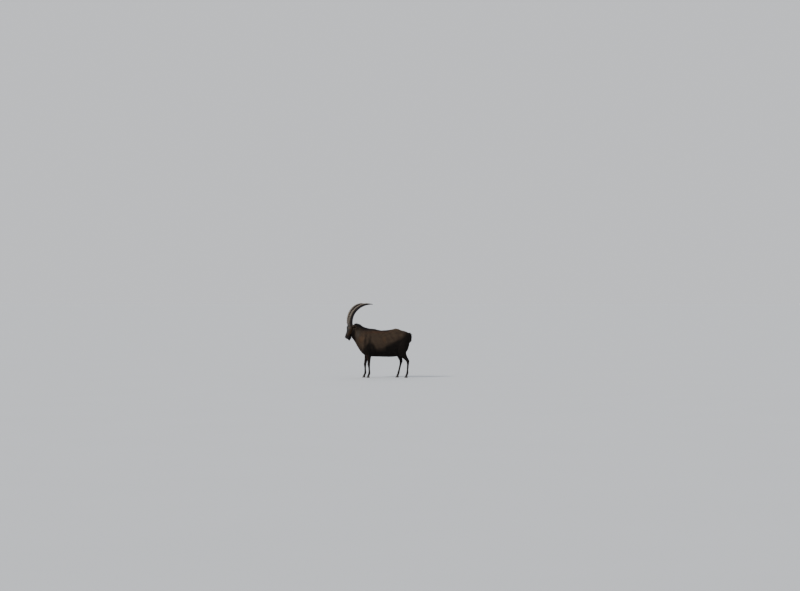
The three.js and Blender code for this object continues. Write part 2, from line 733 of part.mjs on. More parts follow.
// Beard: a low keel under the jaw and chin, with rows of locks that hang from it
function makeBeard() {
  const draw = wobble(beard.seed);
  const down = new THREE.Vector3(0, 0.1, -1).normalize();
  const keelAt = (u) => rowAt(beard.keel, u * (beard.keel.length - 1));
  const deep = beard.keelDepth;
  const rings = beard.keel.map(([along, level, half]) =>
    outline(face(0, along, level), crown, acrossFace, { rise: deep, drop: deep, half, count: 8 }),
  );
  const locks = beard.rows.flatMap(({ at, span, count, length }) =>
    Array.from({ length: count }, (_, k) => {
      const [along, level] = keelAt(at);
      const across = (2 * k) / (count - 1) - 1;
      const out = acrossFace.clone().multiplyScalar(across * 0.2 + draw() * 0.06);
      return lock({
        root: face(across * span, along, level - 3 + Math.abs(across) * 3),
        along: down.clone().add(out).addScaledVector(backwards, draw() * 0.08).normalize(),
        bend: backwards.clone().multiplyScalar(0.6 + draw() * 0.3).addScaledVector(acrossFace, -across * 0.5),
        flat: acrossFace.clone().addScaledVector(backwards, across * 0.8 + draw() * 0.3),
        length: length * (1 - 0.14 * Math.abs(across)) * (1 + draw() * 0.1),
        width: beard.width * (1 + draw() * 0.15),
        thick: beard.thick,
        sunk: beard.sunk,
      });
    }),
  );
  return wasm.Manifold.union([solid(loft(rings, middle(rings[0]), middle(rings.at(-1)))), ...locks]);
}

// Assembly

const head = makeHead();
const horns = { left: makeHorn(1), right: makeHorn(-1) };
const ears = { left: makeEar(1), right: makeEar(-1) };
const wholeLegs = legs.map(makeLeg);
const headPocket = grown(head);
const hornPockets = grown(horns.left).add(grown(horns.right));
const legPockets = wholeLegs.map((leg) => grown(leg));
const wholeTrunk = makeTrunk();
const trunkPocket = grown(wholeTrunk);
const trunk = largest(without(wholeTrunk, headPocket, hornPockets, ...legPockets));

// The neck is parted from the torso by a slanted plane in front of the shoulder
const neckNormal = new THREE.Vector3(0, -0.87, 0.49).normalize();
const neckPoint = new THREE.Vector3(0, -300, 720);
const neckOffset = neckNormal.dot(neckPoint);
const torso = largest(trunk.trimByPlane(neckNormal.clone().negate().toArray(), -neckOffset + gap / 2));
const neck = largest(trunk.trimByPlane(neckNormal.toArray(), neckOffset + gap / 2));

addNode("torso", torso, finish("coat", 0.9));
addNode("neck", neck, finish("coat", 0.9));
addNode("head", without(head, hornPockets), finish("face", 0.85));
addNode("horn_left", horns.left, finish("horn", 0.6));
addNode("horn_right", horns.right, finish("horn", 0.6));
addNode("ear_left", without(ears.left, headPocket, trunkPocket, hornPockets), finish("coat", 0.9));
addNode("ear_right", without(ears.right, headPocket, trunkPocket, hornPockets), finish("coat", 0.9));
addNode("eye_left", eyeBall(1, eyeRadius), finish("eye", 0.15));
addNode("eye_right", eyeBall(-1, eyeRadius), finish("eye", 0.15));
legs.forEach((leg, k) => addLeg(leg, wholeLegs[k]));
addNode("tail", without(makeTail(), trunkPocket, ...legPockets), finish("coatDark", 0.9));
addNode("beard", without(makeBeard(), headPocket, trunkPocket), finish("beard", 0.95));

// The part's origin is the middle of its box at ground level
const extent = new THREE.Box3().setFromObject(ibex, true);
const base = extent.getCenter(new THREE.Vector3()).setZ(extent.min.z);
ibex.position.copy(base).negate();

export default ibex;
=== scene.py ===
import math

import bmesh
import bpy
import numpy as np
from mathutils import Matrix, Vector
from mathutils.bvhtree import BVHTree
from mathutils.kdtree import KDTree


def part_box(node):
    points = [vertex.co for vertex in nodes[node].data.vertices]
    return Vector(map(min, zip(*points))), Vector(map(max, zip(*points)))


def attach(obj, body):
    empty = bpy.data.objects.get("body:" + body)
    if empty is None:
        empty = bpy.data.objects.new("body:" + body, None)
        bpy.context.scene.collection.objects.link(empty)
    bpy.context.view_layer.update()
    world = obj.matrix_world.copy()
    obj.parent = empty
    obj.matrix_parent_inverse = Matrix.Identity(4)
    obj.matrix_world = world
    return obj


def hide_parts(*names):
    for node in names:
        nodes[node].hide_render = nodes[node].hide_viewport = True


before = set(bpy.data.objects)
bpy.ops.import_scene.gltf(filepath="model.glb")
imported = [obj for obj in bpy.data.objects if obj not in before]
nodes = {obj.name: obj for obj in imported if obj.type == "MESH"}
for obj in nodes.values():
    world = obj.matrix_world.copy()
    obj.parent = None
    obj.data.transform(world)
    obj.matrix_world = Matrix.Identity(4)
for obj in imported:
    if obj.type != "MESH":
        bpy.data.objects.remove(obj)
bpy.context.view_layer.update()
mm = 0.001
# The trunk's own middle: the horns sweep to one side of it, so it isn't the middle of the box
midline = 0.0594
sideNames = {1: "left", -1: "right"}

# Where the head sits: pitched down by nod and turned to its left, as in the solids
headPose = {"nod": 66, "turn": 20, "poll": (69.17, -500.54, 1002.0)}

# Head sections: distance from the poll, brow side, jaw side, widest level, half width, roundness above, below
headRows = np.array(
    [
        [-8, 28, -62, -18, 36, 2.0, 2.0],
        [2, 42, -78, -18, 54, 2.1, 2.0],
        [20, 52, -90, -14, 65, 2.3, 1.8],
        [42, 59, -97, -4, 69, 2.4, 1.7],
        [66, 62, -99, 8, 70, 2.4, 1.6],
        [90, 58, -94, 12, 68, 2.3, 1.6],
        [114, 49, -86, 10, 60, 2.2, 1.65],
        [140, 41, -77, 2, 49, 2.2, 1.7],
        [168, 36, -68, -4, 41, 2.2, 1.8],
        [196, 33, -60, -8, 37, 2.3, 1.9],
        [222, 32, -54, -8, 36, 2.5, 2.0],
        [243, 30, -51, -8, 37, 2.6, 2.1],
        [258, 27, -48, -8, 37, 2.6, 2.2],
        [269, 21, -42, -9, 34, 2.5, 2.2],
        [277, 11, -33, -11, 27, 2.3, 2.1],
        [284, 0, -24, -12, 12, 2.1, 2.1],
    ]
)
# Soft forms of the head: half-way out, distance from the poll, level, reach, lift
headForms = [
    (50, 70, 44, 22, 8),  # brow ridge
    (60, 106, 2, 18, 6),  # cheek bone
    (52, 64, -50, 34, 6),  # jaw muscle
    (52, 122, 24, 15, -5),  # hollow before the eye
    (40, 158, -34, 30, -6),  # hollow of the cheek
    (0, 62, 60, 34, 6),  # forehead
    (0, 205, 34, 34, 3),  # nose bridge
    (25, 262, 14, 11, 5),  # nostril wing
    (32, 252, -18, 15, 4),  # upper lip
    (18, 252, -46, 14, 3),  # lower lip
    (0, 281, -14, 8, -4),  # cleft of the lip
]

eye = {"at": (57, 84, 22), "radius": 15.5, "lid": 3.1, "length": 31, "height": 17, "tilt": -12}
eyePocket = 3.5  # how far the skin behind the lids' opening lies inside the eyeball
lidFolds = [(1.55, 0.13, 0.9), (1.95, 0.12, 0.5)]  # place out from the opening's rim at 1, reach, depth
nostril = {
    "inner": (10, 280, -5),
    "outer": (24, 266, 10),
    "reach": 3.6,
    "depth": 9.0,
    "wing": 1.2,
    "wingAt": 6.2,
    "wingReach": 2.0,
}
mouth = {
    "corner": 204,
    "front": 281,
    "levelBack": -37,
    "levelFront": -27,
    "wave": 1.6,
    "reach": 2.1,
    "depth": 4.6,
    "upperLip": 2.2,
    "lowerLip": 1.5,
    "lipAt": 5.6,
    "lipReach": 3.2,
}

horn = {
    "root": (33, -27, -6),  # side, back and height from the poll
    "lean": -12,
    "end": 102,
    "arcRadius": 331,
    "sunk": 34,
    "spread": 150,
    "depth": [84, 80, 75, 68, 56, 38, 10],
    "width": [68, 64, 58, 50, 40, 27, 9],
    "knobs": 15,
    "knobFrom": 0.05,
    "knobTo": 0.84,
    "knobHeight": 11,
    "sides": 56,
    "rings": 420,
}

ear = {
    "root": (60, 26, -24),
    "length": 118,
    "halfWidths": [13, 19, 26, 30, 31, 28.5, 22, 12, 1.5],
    "wraps": [160, 148, 132, 116, 104, 95, 88, 82, 76],
    "wall": 3,
    "across": 22,
    "rings": 44,
    "bulb": 18,
}

skin = {"voxel": 7.0, "headVoxel": 1.9, "smoothing": 3, "fieldSmoothing": 16}

# The coat on each part: depth over the skin, hair length and width, tufts to the square metre
coat = {
    "torso": {"depth": 7.5, "length": 44, "width": 2.2, "density": 160000},
    "neck": {"depth": 9.0, "length": 54, "width": 2.2, "density": 190000},
    "head": {"depth": 2.0, "length": 10, "width": 1.1, "density": 260000},
    "thigh": {"depth": 6.5, "length": 36, "width": 2.0, "density": 175000},
    "forearm": {"depth": 3.4, "length": 19, "width": 1.5, "density": 220000},
    "cannon": {"depth": 2.4, "length": 12, "width": 1.3, "density": 220000},
    "tail": {"depth": 5.0, "length": 66, "width": 1.9, "density": 300000},
}
coatSeed = 20
patchSize = 0.003  # share of a piece's unwrap that one tuft takes
pieceLimit = 195000  # triangles in one piece of the coat

# Colours of the coat as linear light
shades = {
    "flank": (0.068, 0.047, 0.032),
    "back": (0.009, 0.008, 0.010),
    "dark": (0.0095, 0.0068, 0.0055),
    "leg": (0.009, 0.0065, 0.0058),
    "rust": (0.090, 0.036, 0.020),
    "neckPale": (0.094, 0.080, 0.064),
    "neckWarm": (0.115, 0.068, 0.040),
    "faceGrey": (0.026, 0.027, 0.028),
    "cheek": (0.060, 0.037, 0.022),
    "cheekWarm": (0.115, 0.060, 0.028),
    "black": (0.007, 0.006, 0.006),
    "pale": (0.26, 0.21, 0.16),
}


# Small tools


def unit(v):
    return v / np.maximum(np.linalg.norm(v, axis=-1, keepdims=True), 1e-12)


def ramp(v, low, high):
    t = np.clip((v - low) / (high - low), 0, 1)
    return t * t * (3 - 2 * t)


# From 1 at zero down to nothing, over about the given reach
def bell(v, reach, power=2):
    return np.exp(-((v / reach) ** power))


# What is left of each vector once its share along up is taken away
def levelled(v, up, share=1.0):
    return v - up * (v * up).sum(1)[:, None] * share


# Rows of measures read between the rows, along a smooth curve
def smoothRows(rows, at):
    last = len(rows) - 1
    i = np.minimum(np.floor(at).astype(int), last - 1)
    f = (at - i)[:, None]
    a, b, c, d = (rows[np.clip(i + k, 0, last)] for k in (-1, 0, 1, 2))
    start = (c - a) / 2
    end = (d - b) / 2
    near = (2 * f**3 - 3 * f**2 + 1) * b + (f**3 - 2 * f**2 + f) * start
    return near + (3 * f**2 - 2 * f**3) * c + (f**3 - f**2) * end


# Sideways and upright places round an outline, fuller than an ellipse where above or below is over 2
def roundOutline(rise, drop, half, above, below, count):
    a = np.arange(count) / count * 2 * np.pi
    n = np.where(np.cos(a) >= 0, above, below)
    up = np.where(np.cos(a) >= 0, rise, drop) * np.sign(np.cos(a)) * np.abs(np.cos(a)) ** (2 / n)
    side = half * np.sign(np.sin(a)) * np.abs(np.sin(a)) ** (2 / n)
    return side, up


def turnedBy(v, degrees):
    c = math.cos(math.radians(degrees))
    s = math.sin(math.radians(degrees))
    return np.array([v[0] * c - v[1] * s, v[0] * s + v[1] * c, v[2]])


def linked(name, data):
    ob = bpy.data.objects.new(name, data)
    bpy.context.scene.collection.objects.link(ob)
    return ob


def meshFrom(bm, name):
    me = bpy.data.meshes.new(name)
    bm.to_mesh(me)
    bm.free()
    return me


# One value for each point of a mesh
def store(me, name, kind, values):
    layer = me.attributes.new(name, kind, "POINT")
    field = {"FLOAT": "value", "FLOAT_COLOR": "color", "FLOAT_VECTOR": "vector"}[kind]
    layer.data.foreach_set(field, np.asarray(values, np.float32).ravel())


# Colour of the coat at each point, and how bare the skin is there
def paintPoints(me, colour, bare):
    full = np.ones((len(colour), 4))
    full[:, :3] = colour
    store(me, "coatColour", "FLOAT_COLOR", full)
    store(me, "bareSkin", "FLOAT", bare)


def storeUnwrap(me, places):
    layer = me.uv_layers.new(name="OFBake", do_init=False)
    layer.uv.foreach_set("vector", places.astype(np.float32).ravel())


def meshObject(name, points, faces, smooth=True):
    me = bpy.data.meshes.new(name)
    me.from_pydata([tuple(p) for p in points], [], faces)
    me.update()
    if smooth:
        me.shade_smooth()
    return linked(name, me)


# Doubles merged and faces turned outwards
def outward(ob):
    bm = bmesh.new()
    bm.from_mesh(ob.data)
    bmesh.ops.remove_doubles(bm, verts=bm.verts, dist=1e-6)
    bmesh.ops.recalc_face_normals(bm, faces=bm.faces)
    bm.to_mesh(ob.data)
    bm.free()
    return ob


# Closed surface through rings of equal count, with a point at each end, or a zipped cap where it has none
def loftFaces(rings, count, startPoint, endPoint):
    faces = []
    for r in range(rings - 1):
        for i in range(count):
            j = (i + 1) % count
            faces.append((r * count + i, r * count + j, (r + 1) * count + j, (r + 1) * count + i))
    extra = rings * count
    for first, pointed, flip in ((0, startPoint, False), ((rings - 1) * count, endPoint, True)):
        cap = []
        if pointed:
            cap = [(extra, first + (i + 1) % count, first + i) for i in range(count)]
            extra += 1
        else:
            for i in range(count // 2 - 1):
                across = count - 1 - i
                cap.append((first + i, first + across, first + across - 1, first + i + 1))
        faces += [tuple(reversed(f)) if flip else f for f in cap]
    return faces


def loftObject(name, rings, start=None, end=None):
    points = np.concatenate(rings)
    for tip in (start, end):
        if tip is not None:
            points = np.concatenate([points, [tip]])
    faces = loftFaces(len(rings), len(rings[0]), start is not None, end is not None)
    return outward(meshObject(name, points, faces))


# The head's own axes

acrossFace = turnedBy((1, 0, 0), headPose["turn"])
nodAngle = math.radians(headPose["nod"])
alongFace = turnedBy((0, -math.cos(nodAngle), -math.sin(nodAngle)), headPose["turn"])
crown = turnedBy((0, -math.sin(nodAngle), math.cos(nodAngle)), headPose["turn"])
backwards = turnedBy((0, 1, 0), headPose["turn"])
poll = np.array(headPose["poll"])
headAxes = np.array([acrossFace, alongFace, crown])


def fromHead(p):
    return (poll + np.asarray(p) @ headAxes) * mm


def toHead(p):
    return (np.asarray(p) / mm - poll) @ headAxes.T


# The outlines of the head from the poll to the nose, with its soft forms
def headRings(between, sides):
    rows = smoothRows(headRows, np.linspace(0, len(headRows) - 1, between))
    rings = []
    for along, brow, jaw, widest, half, above, below in rows:
        side, up = roundOutline(brow - widest, widest - jaw, half, above, below, sides)
        ring = np.stack([side, np.full(sides, along), widest + up], 1)
        out = unit(ring - [0, along, widest])
        lift = np.zeros(sides)
        for x, y, z, reach, high in headForms:
            far2 = (np.abs(ring[:, 0]) - x) ** 2 + (ring[:, 1] - y) ** 2 + (ring[:, 2] - z) ** 2
            lift += high * np.exp(-far2 / reach**2)
        rings.append(fromHead(ring + out * lift[:, None]))
    return rings


def ballObject(name, centre, radius):
    bm = bmesh.new()
    place = Matrix.Translation(Vector(centre))
    bmesh.ops.create_uvsphere(bm, u_segments=36, v_segments=24, radius=radius, matrix=place)
    return linked(name, meshFrom(bm, name))


# A place of the head on one side of it
def onSide(side, at):
    return fromHead((side * at[0], at[1], at[2]))


def eyeCentre(side):
    return onSide(side, eye["at"])


# Outwards, along the opening of the lids, and up, for the eye of one side
def eyeAxes(side):
    tilt = math.radians(-eye["tilt"])
    out = unit(acrossFace * side * 0.96 + alongFace * 0.2 + crown * 0.12)
    long = alongFace * math.cos(tilt) - crown * math.sin(tilt)
    long = unit(long - out * long.dot(out))
    up = np.cross(long, out)
    if up.dot(crown) < 0:
        up = -up
    return out, long, up


# Skin: every node of flesh as one closed surface

softNodes = {
    "torso": ["torso"],
    "neck": ["neck"],
    "thigh": [n for n in nodes if n.endswith(("_shoulder", "_thigh"))],
    "forearm": [n for n in nodes if n.endswith(("_forearm", "_gaskin"))],
    "cannon": [n for n in nodes if n.endswith("_cannon")],
    "tail": ["tail"],
}
partNames = [*softNodes, "head"]


# A copy of a node, grown a little so that neighbours meet
def mergedCopy(node, reach):
    bm = bmesh.new()
    bm.from_mesh(nodes[node].data)
    bmesh.ops.remove_doubles(bm, verts=bm.verts, dist=1e-6)
    bm.normal_update()
    normals = [v.normal.copy() for v in bm.verts]
    for v, n in zip(bm.verts, normals):
        v.co += n * reach
    return linked("copy_" + node, meshFrom(bm, "copy_" + node))


# Copies of the nodes of flesh, with a finer head that has lids and ear roots
def gatherFlesh():
    flesh = []
    for part, names in softNodes.items():
        for name in names:
            flesh.append((part, mergedCopy(name, 0.45 * mm)))
    rings = headRings(110, 84)
    back = rings[0].mean(0) - alongFace * 4 * mm
    flesh.append(("head", loftObject("copy_head", rings, back, fromHead((0, 286, -12)))))
    for side in sideNames:
        lids = eye["radius"] + eye["lid"]
        flesh.append(("head", ballObject("copy_lids", eyeCentre(side), lids * mm)))
        flesh.append(("head", ballObject("copy_bulb", onSide(side, ear["root"]), ear["bulb"] * mm)))
    return flesh


def evaluated(ob):
    graph = bpy.context.evaluated_depsgraph_get()
    graph.update()
    return bpy.data.meshes.new_from_object(ob.evaluated_get(graph))


# Several closed shapes made one closed surface
def remeshed(objects, voxel, name):
    bm = bmesh.new()
    for ob in objects:
        bm.from_mesh(ob.data)
    ob = linked(name, meshFrom(bm, name))
    remesh = ob.modifiers.new("voxels", "REMESH")
    remesh.mode = "VOXEL"
    remesh.voxel_size = voxel
    remesh.adaptivity = 0
    made = evaluated(ob)
    bpy.data.objects.remove(ob)
    return made


def coordinates(me):
    co = np.empty(len(me.vertices) * 3, np.float32)
    me.vertices.foreach_get("co", co)
    return co.reshape(-1, 3).astype(float)


def setCoordinates(me, points):
    me.vertices.foreach_set("co", np.ascontiguousarray(points, np.float32).ravel())
    me.update()


def vertexNormals(me):
    found = np.empty(len(me.vertices) * 3, np.float32)
    me.vertex_normals.foreach_get("vector", found)
    return found.reshape(-1, 3).astype(float)


def edgePairs(me):
    pairs = np.empty(len(me.edges) * 2, np.int32)
    me.edges.foreach_get("vertices", pairs)
    return pairs.reshape(-1, 2)


# Each value moved towards the mean of its neighbours
def relaxed(values, pairs, rounds, share):
    count = len(values)
    near = np.maximum(np.bincount(pairs.ravel(), minlength=count), 1)
    values = np.array(values, float)
    flat = values.reshape(count, -1)
    for _ in range(rounds):
        mean = np.empty_like(flat)
        for k in range(flat.shape[1]):
            total = np.bincount(pairs[:, 0], flat[pairs[:, 1], k], count)
            total += np.bincount(pairs[:, 1], flat[pairs[:, 0], k], count)
            mean[:, k] = total / near
        flat = flat + (mean - flat) * share
    return flat.reshape(values.shape)


# Splits every edge of the faces whose points are all inside a region
def refined(me, inside):
    bm = bmesh.new()
    bm.from_mesh(me)
    bm.verts.ensure_lookup_table()
    edges = [e for e in bm.edges if inside[e.verts[0].index] and inside[e.verts[1].index]]
    bmesh.ops.subdivide_edges(bm, edges=edges, cuts=1, use_grid_fill=True)
    bm.to_mesh(me)
    bm.free()


# Each point drawn on to a surface, where that lies within reach
def nearestOn(tree, points, reach):
    found = points.copy()
    for i, p in enumerate(points):
        hit = tree.find_nearest(Vector(p), reach)
        if hit[0] is not None:
            found[i] = hit[0]
    return found


def treeOf(me):
    faces = [tuple(p.vertices) for p in me.polygons]
    return BVHTree.FromPolygons([v.co for v in me.vertices], faces)


# Places along and up the opening of the lids, laid flat round the eyeball, and how far off its centre
def eyePlane(points, side):
    out, long, up = eyeAxes(side)
    away = points / mm - eyeCentre(side) / mm
    far = np.linalg.norm(away, axis=1)
    angle = np.arccos(np.clip(away @ out / np.maximum(far, 1e-9), -1, 1))
    flat = away - np.outer(away @ out, out)
    flat = unit(flat) * (angle * eye["radius"])[:, None]
    return flat @ long, flat @ up, far


# How far out a point lies from the middle of the lids' opening, with its almond rim at 1
def lidRim(s, h):
    return np.sqrt((np.abs(s) / (eye["length"] / 2)) ** 2 + (np.abs(h) / (eye["height"] / 2)) ** 1.5)


# Places of the head with the right half laid over the left
def mirrored(local):
    return np.stack([np.abs(local[:, 0]), local[:, 1], local[:, 2]], 1)


# How far a place of the head lies from the slit of a nostril, and how far along it that is, from 0 to 1
def nostrilPlace(local):
    p = mirrored(local)
    a = np.array(nostril["inner"], float)
    b = np.array(nostril["outer"], float)
    t = np.clip((p - a) @ (b - a) / ((b - a) @ (b - a)), 0, 1)
    return np.linalg.norm(p - (a + np.outer(t, b - a)), axis=1), t


# How far above the line of the mouth a place lies, and how far forward from its corner, from 0 to 1
def mouthPlace(local):
    share = (local[:, 1] - mouth["corner"]) / (mouth["front"] - mouth["corner"])
    t = np.clip(share, 0, 1)
    wave = mouth["wave"] * np.sin(t * np.pi * 1.5)
    level = mouth["levelBack"] + (mouth["levelFront"] - mouth["levelBack"]) * t + wave
    return local[:, 2] - level, share


# Eye sockets, nostrils, the line of the mouth and the fine folds, pressed into the skin of the head
def pressFeatures(points, normals):
    p = points.copy()
    for side in sideNames:
        s, h, far = eyePlane(p, side)
        near = far < eye["radius"] + 14
        rim = lidRim(s, h)
        inside = near & (rim < 0.99)
        centre = eyeCentre(side)
        p[inside] = centre + unit(p[inside] - centre) * (eye["radius"] - eyePocket) * mm
        fold = sum(bell(rim - at, reach) * deep for at, reach, deep in lidFolds)
        fold = np.where(near & ~inside & (h > -6), fold, 0)
        p -= normals * (fold * mm)[:, None]
    local = toHead(p)
    far, t = nostrilPlace(local)
    pit = nostril["depth"] * bell(far, nostril["reach"] * (0.75 + 0.35 * t), 3)
    wing = nostril["wing"] * bell(far - nostril["wingAt"], nostril["wingReach"])
    p += normals * ((wing - pit) * mm)[:, None]
    over, share = mouthPlace(local)
    line = mouth["depth"] * bell(over, mouth["reach"]) * ramp(share, -0.03, 0.1)
    lips = np.where(over > 0, mouth["upperLip"], mouth["lowerLip"])
    lips = lips * bell(np.abs(over) - mouth["lipAt"], mouth["lipReach"]) * ramp(share, 0.0, 0.2)
    p += normals * ((lips - line) * mm)[:, None]
    return p


# The head drawn again on to a finer surface, with more points there and most of them at eyes and muzzle
def sharpenHead(me, flesh):
    headPieces = [ob for part, ob in flesh if part in ("head", "neck")]
    fine = treeOf(remeshed(headPieces, skin["headVoxel"] * mm, "fineHead"))
    for first in (-20, 48):
        local = toHead(coordinates(me))
        inHead = (local[:, 1] > first) & (local[:, 1] < 290) & (np.abs(local[:, 0]) < 85)
        inHead &= (local[:, 2] > -112) & (local[:, 2] < 80)
        if first > 0:
            inHead &= (local[:, 2] > -45) | (local[:, 1] > 190)
        refined(me, inHead)
    points = coordinates(me)
    pairs = edgePairs(me)
    local = toHead(points)
    onHead = ramp(local[:, 1], -25, 5) * ramp(local[:, 2], -125, -100) * (np.abs(local[:, 0]) < 95)
    chosen = onHead > 0
    # Smoothed first, so that the steps of the voxels are gone
    points = relaxed(points, pairs, skin["smoothing"], 0.5)
    target = points.copy()
    target[chosen] = nearestOn(fine, points[chosen], 12 * mm)
    points += (target - points) * onHead[:, None]
    return relaxed(points, pairs, 1, 0.4), pairs


# The part of the body under each point, as its place in partNames
def partUnder(points, flesh):
    faces = []
    owner = []
    corners = []
    for part, ob in flesh:
        base = len(corners)
        corners += [v.co.copy() for v in ob.data.vertices]
        for f in ob.data.polygons:
            faces.append([base + i for i in f.vertices])
            owner.append(partNames.index(part))
    tree = BVHTree.FromPolygons(corners, faces)
    return np.array([owner[tree.find_nearest(Vector(p))[2]] for p in points])


def makeSkin():
    flesh = gatherFlesh()
    me = remeshed([ob for _, ob in flesh], skin["voxel"] * mm, "skin")
    points, pairs = sharpenHead(me, flesh)
    setCoordinates(me, points)
    part = partUnder(points, flesh)
    for _, ob in flesh:
        bpy.data.objects.remove(ob)
    # What the coat does at each point: the skin lies the depth of the coat under the solids
    fields = {}
    for key in ("depth", "length", "width", "density"):
        raw = np.array([coat[name][key] for name in partNames], float)[part]
        fields[key] = relaxed(raw, pairs, skin["fieldSmoothing"], 0.6)
    normals = vertexNormals(me)
    points = points - normals * (fields["depth"] * mm)[:, None]
    setCoordinates(me, pressFeatures(points, normals))
    for name in [m.name for m in me.attributes if m.name.startswith("sculpt")]:
        me.attributes.remove(me.attributes[name])
    me.shade_smooth()
    print("skin:", len(me.vertices), "points,", sum(len(f.vertices) - 2 for f in me.polygons), "triangles")
    return linked("skin", me), part, fields


# Colours and lie of the coat


# Share of the fold behind the jaw, where head and neck meet
def jawFold(local):
    line = -21 - 0.517 * (local[:, 1] - 69)
    deep = bell(local[:, 2] - line, 14) * ramp(np.abs(local[:, 0]), 26, 36)
    return deep * ramp(local[:, 1], 15, 55) * (1 - ramp(local[:, 1], 190, 230))


# One colour of the coat laid over what is there
def lay(colour, name, mask):
    colour += (np.array(shades[name]) - colour) * np.clip(mask, 0, 1)[:, None]


# Belly, shoulder with its upright streaks, rear flank and rump are dark, the upper flank lighter
def markTrunk(colour, p, n):
    x, y, z = p.T

    def patch(y0, z0, dy, dz):
        return np.exp(-(((y - y0) / dy) ** 2) - ((z - z0) / dz) ** 2)

    streak = 0.5 + 0.5 * np.sin(y * 130 + 2.5 * np.sin(z * 14) + 4 * x)
    shoulder = ramp(patch(-0.165, 0.545, 0.11, 0.14), 0.22, 0.62)
    lay(colour, "cheekWarm", patch(0.095, 0.73, 0.035, 0.05) * 0.45)
    lay(colour, "dark", ramp(-z, -0.62, -0.50) * 0.96)
    lay(colour, "dark", shoulder * (0.85 + 0.15 * streak))
    lay(colour, "dark", patch(-0.250, 0.74, 0.019, 0.13) * 0.92)
    lay(colour, "dark", patch(-0.165, 0.71, 0.019, 0.12) * 0.85)
    lay(colour, "dark", ramp(0.625 + (y - 0.114) * 0.50 - z, -0.03, 0.06) * ramp(y, 0.04, 0.16) * 0.97)
    lay(colour, "dark", ramp(y, 0.42, 0.53) * 0.93)
    lay(colour, "rust", patch(-0.02, 0.87, 0.22, 0.02) * 0.5)
    # Painted shade: every face turned downwards is darkened
    lay(colour, "dark", ramp(-n[:, 2], 0.15, 0.6) * 0.6)
    # Legs
    lay(colour, "leg", ramp(-z, -0.44, -0.34))
    inFront = ramp(-n[:, 1], -0.2, 0.7) * ramp(-y, 0.1, 0.15)
    lay(colour, "rust", patch(-0.2, 0.38, 0.05, 0.16) * inFront * 0.22)
    lay(colour, "pale", ramp(-z, -0.24, -0.16) * ramp(n[:, 1], 0.35, 0.8) * 0.18)
    # Neck, nape and the dark ridge along the back
    onNeck = ramp(-y, 0.27, 0.34)
    lay(colour, "flank", onNeck * 0.7)
    lay(colour, "neckWarm", patch(-0.335, 0.76, 0.055, 0.065) * 0.85)
    lay(colour, "neckPale", patch(-0.400, 0.85, 0.036, 0.085) * 0.9)
    lay(colour, "dark", ramp(-y, 0.437, 0.458) * ramp(n[:, 2], 1.2, 0.3) * 0.9)
    spine = midline + 0.024 * ramp(-y, 0.22, 0.46)
    ridge = bell(x - spine, 0.050 + 0.045 * onNeck, 4)
    lay(colour, "back", ridge * ramp(n[:, 2], 0.2, 0.6) * ramp(-y, -0.30, -0.12) * 0.95)


# The head is dark grey in front, warm on the cheek, near black on nose and chin
def markHead(colour, p):
    local = toHead(p)
    folded = mirrored(local)
    side, along, up = folded.T
    widest = 80 + 0.4 * np.minimum(up, 0)
    onHead = ramp(along, 2, 22) * ramp(up, -97, -86) * ramp(-p[:, 1], 0.44, 0.47)
    onHead = onHead * (1 - ramp(side, widest - 11, widest))
    lay(colour, "cheek", onHead)
    lay(colour, "cheekWarm", onHead * np.exp(-(((along - 118) / 62) ** 2) - ((up + 36) / 30) ** 2) * 0.85)
    lay(colour, "faceGrey", onHead * ramp(up, 2, 26) * 0.9)
    lay(colour, "dark", onHead * ramp(along, 190, 240) * 0.95)
    lay(colour, "dark", onHead * ramp(-up, 58, 86) * 0.85)
    # Painted shade in the fold behind the jaw
    lay(colour, "dark", jawFold(local) * 0.9)
    eyeFar = np.linalg.norm(folded - np.array(eye["at"]), axis=1)
    lay(colour, "pale", onHead * bell(eyeFar - 27, 6) * ramp(up, 22, 40) * 0.35)
    lay(colour, "black", onHead * bell(eyeFar - 18, 4.5) * 0.7)
    lay(colour, "black", onHead * bell(nostrilPlace(local)[0], 9) * 0.95)
    lay(colour, "black", onHead * ramp(along, 274, 282) * 0.9)
    over, share = mouthPlace(local)
    lay(colour, "black", onHead * bell(over, 4.2) * ramp(share, -0.03, 0.08))


def coatColours(p, n):
    colour = np.tile(np.array(shades["flank"]), (len(p), 1))
    markTrunk(colour, p, n)
    markHead(colour, p)
    return colour


# The way that the hair lies on each part
hairWays = {
    "torso": (0, 0.80, -0.50),
    "neck": (0, 0.50, -0.80),
    "thigh": (0, 0.34, -0.94),
    "forearm": (0, 0.14, -1.0),
    "cannon": (0, 0.08, -1.0),
    "tail": (0, 0.2, -1.0),
    "head": tuple(-alongFace),
}


# The way that the hair lies at each point
def lieOf(p, part):
    local = toHead(p)
    lie = np.array([hairWays[name] for name in partNames], float)[part]
    cheek = (part == partNames.index("head")) & (local[:, 2] < 0)
    lie[cheek] += -crown * 0.35
    # Behind the jaw the hair falls outwards and down over the neck
    fold = jawFold(local)[:, None]
    lie += fold * (np.outer(np.sign(local[:, 0]), acrossFace) * 0.8 + np.array([0, 0.1, -1.4]))
    return unit(lie)


# Slow random waves through space
def swirl(p, seed, wave):
    draw = np.random.default_rng(seed)
    total = np.zeros(len(p))
    for _ in range(5):
        way = draw.normal(size=3)
        way = way / np.linalg.norm(way) * (2 * np.pi / (wave * draw.uniform(0.6, 1.5)))
        total += np.sin(p @ way + draw.uniform(0, 6.28))
    return total / 5**0.5


# Tufts


# Shares of a tuft's length where it has three points, and how wide it is there. The tip is one point.
tuftForms = {
    "short": {"stops": [0.0], "swell": [1.0]},
    "strand": {"stops": [0.0, 0.32, 0.66], "swell": [0.75, 1.0, 0.72]},
}
shortTriangles = 4


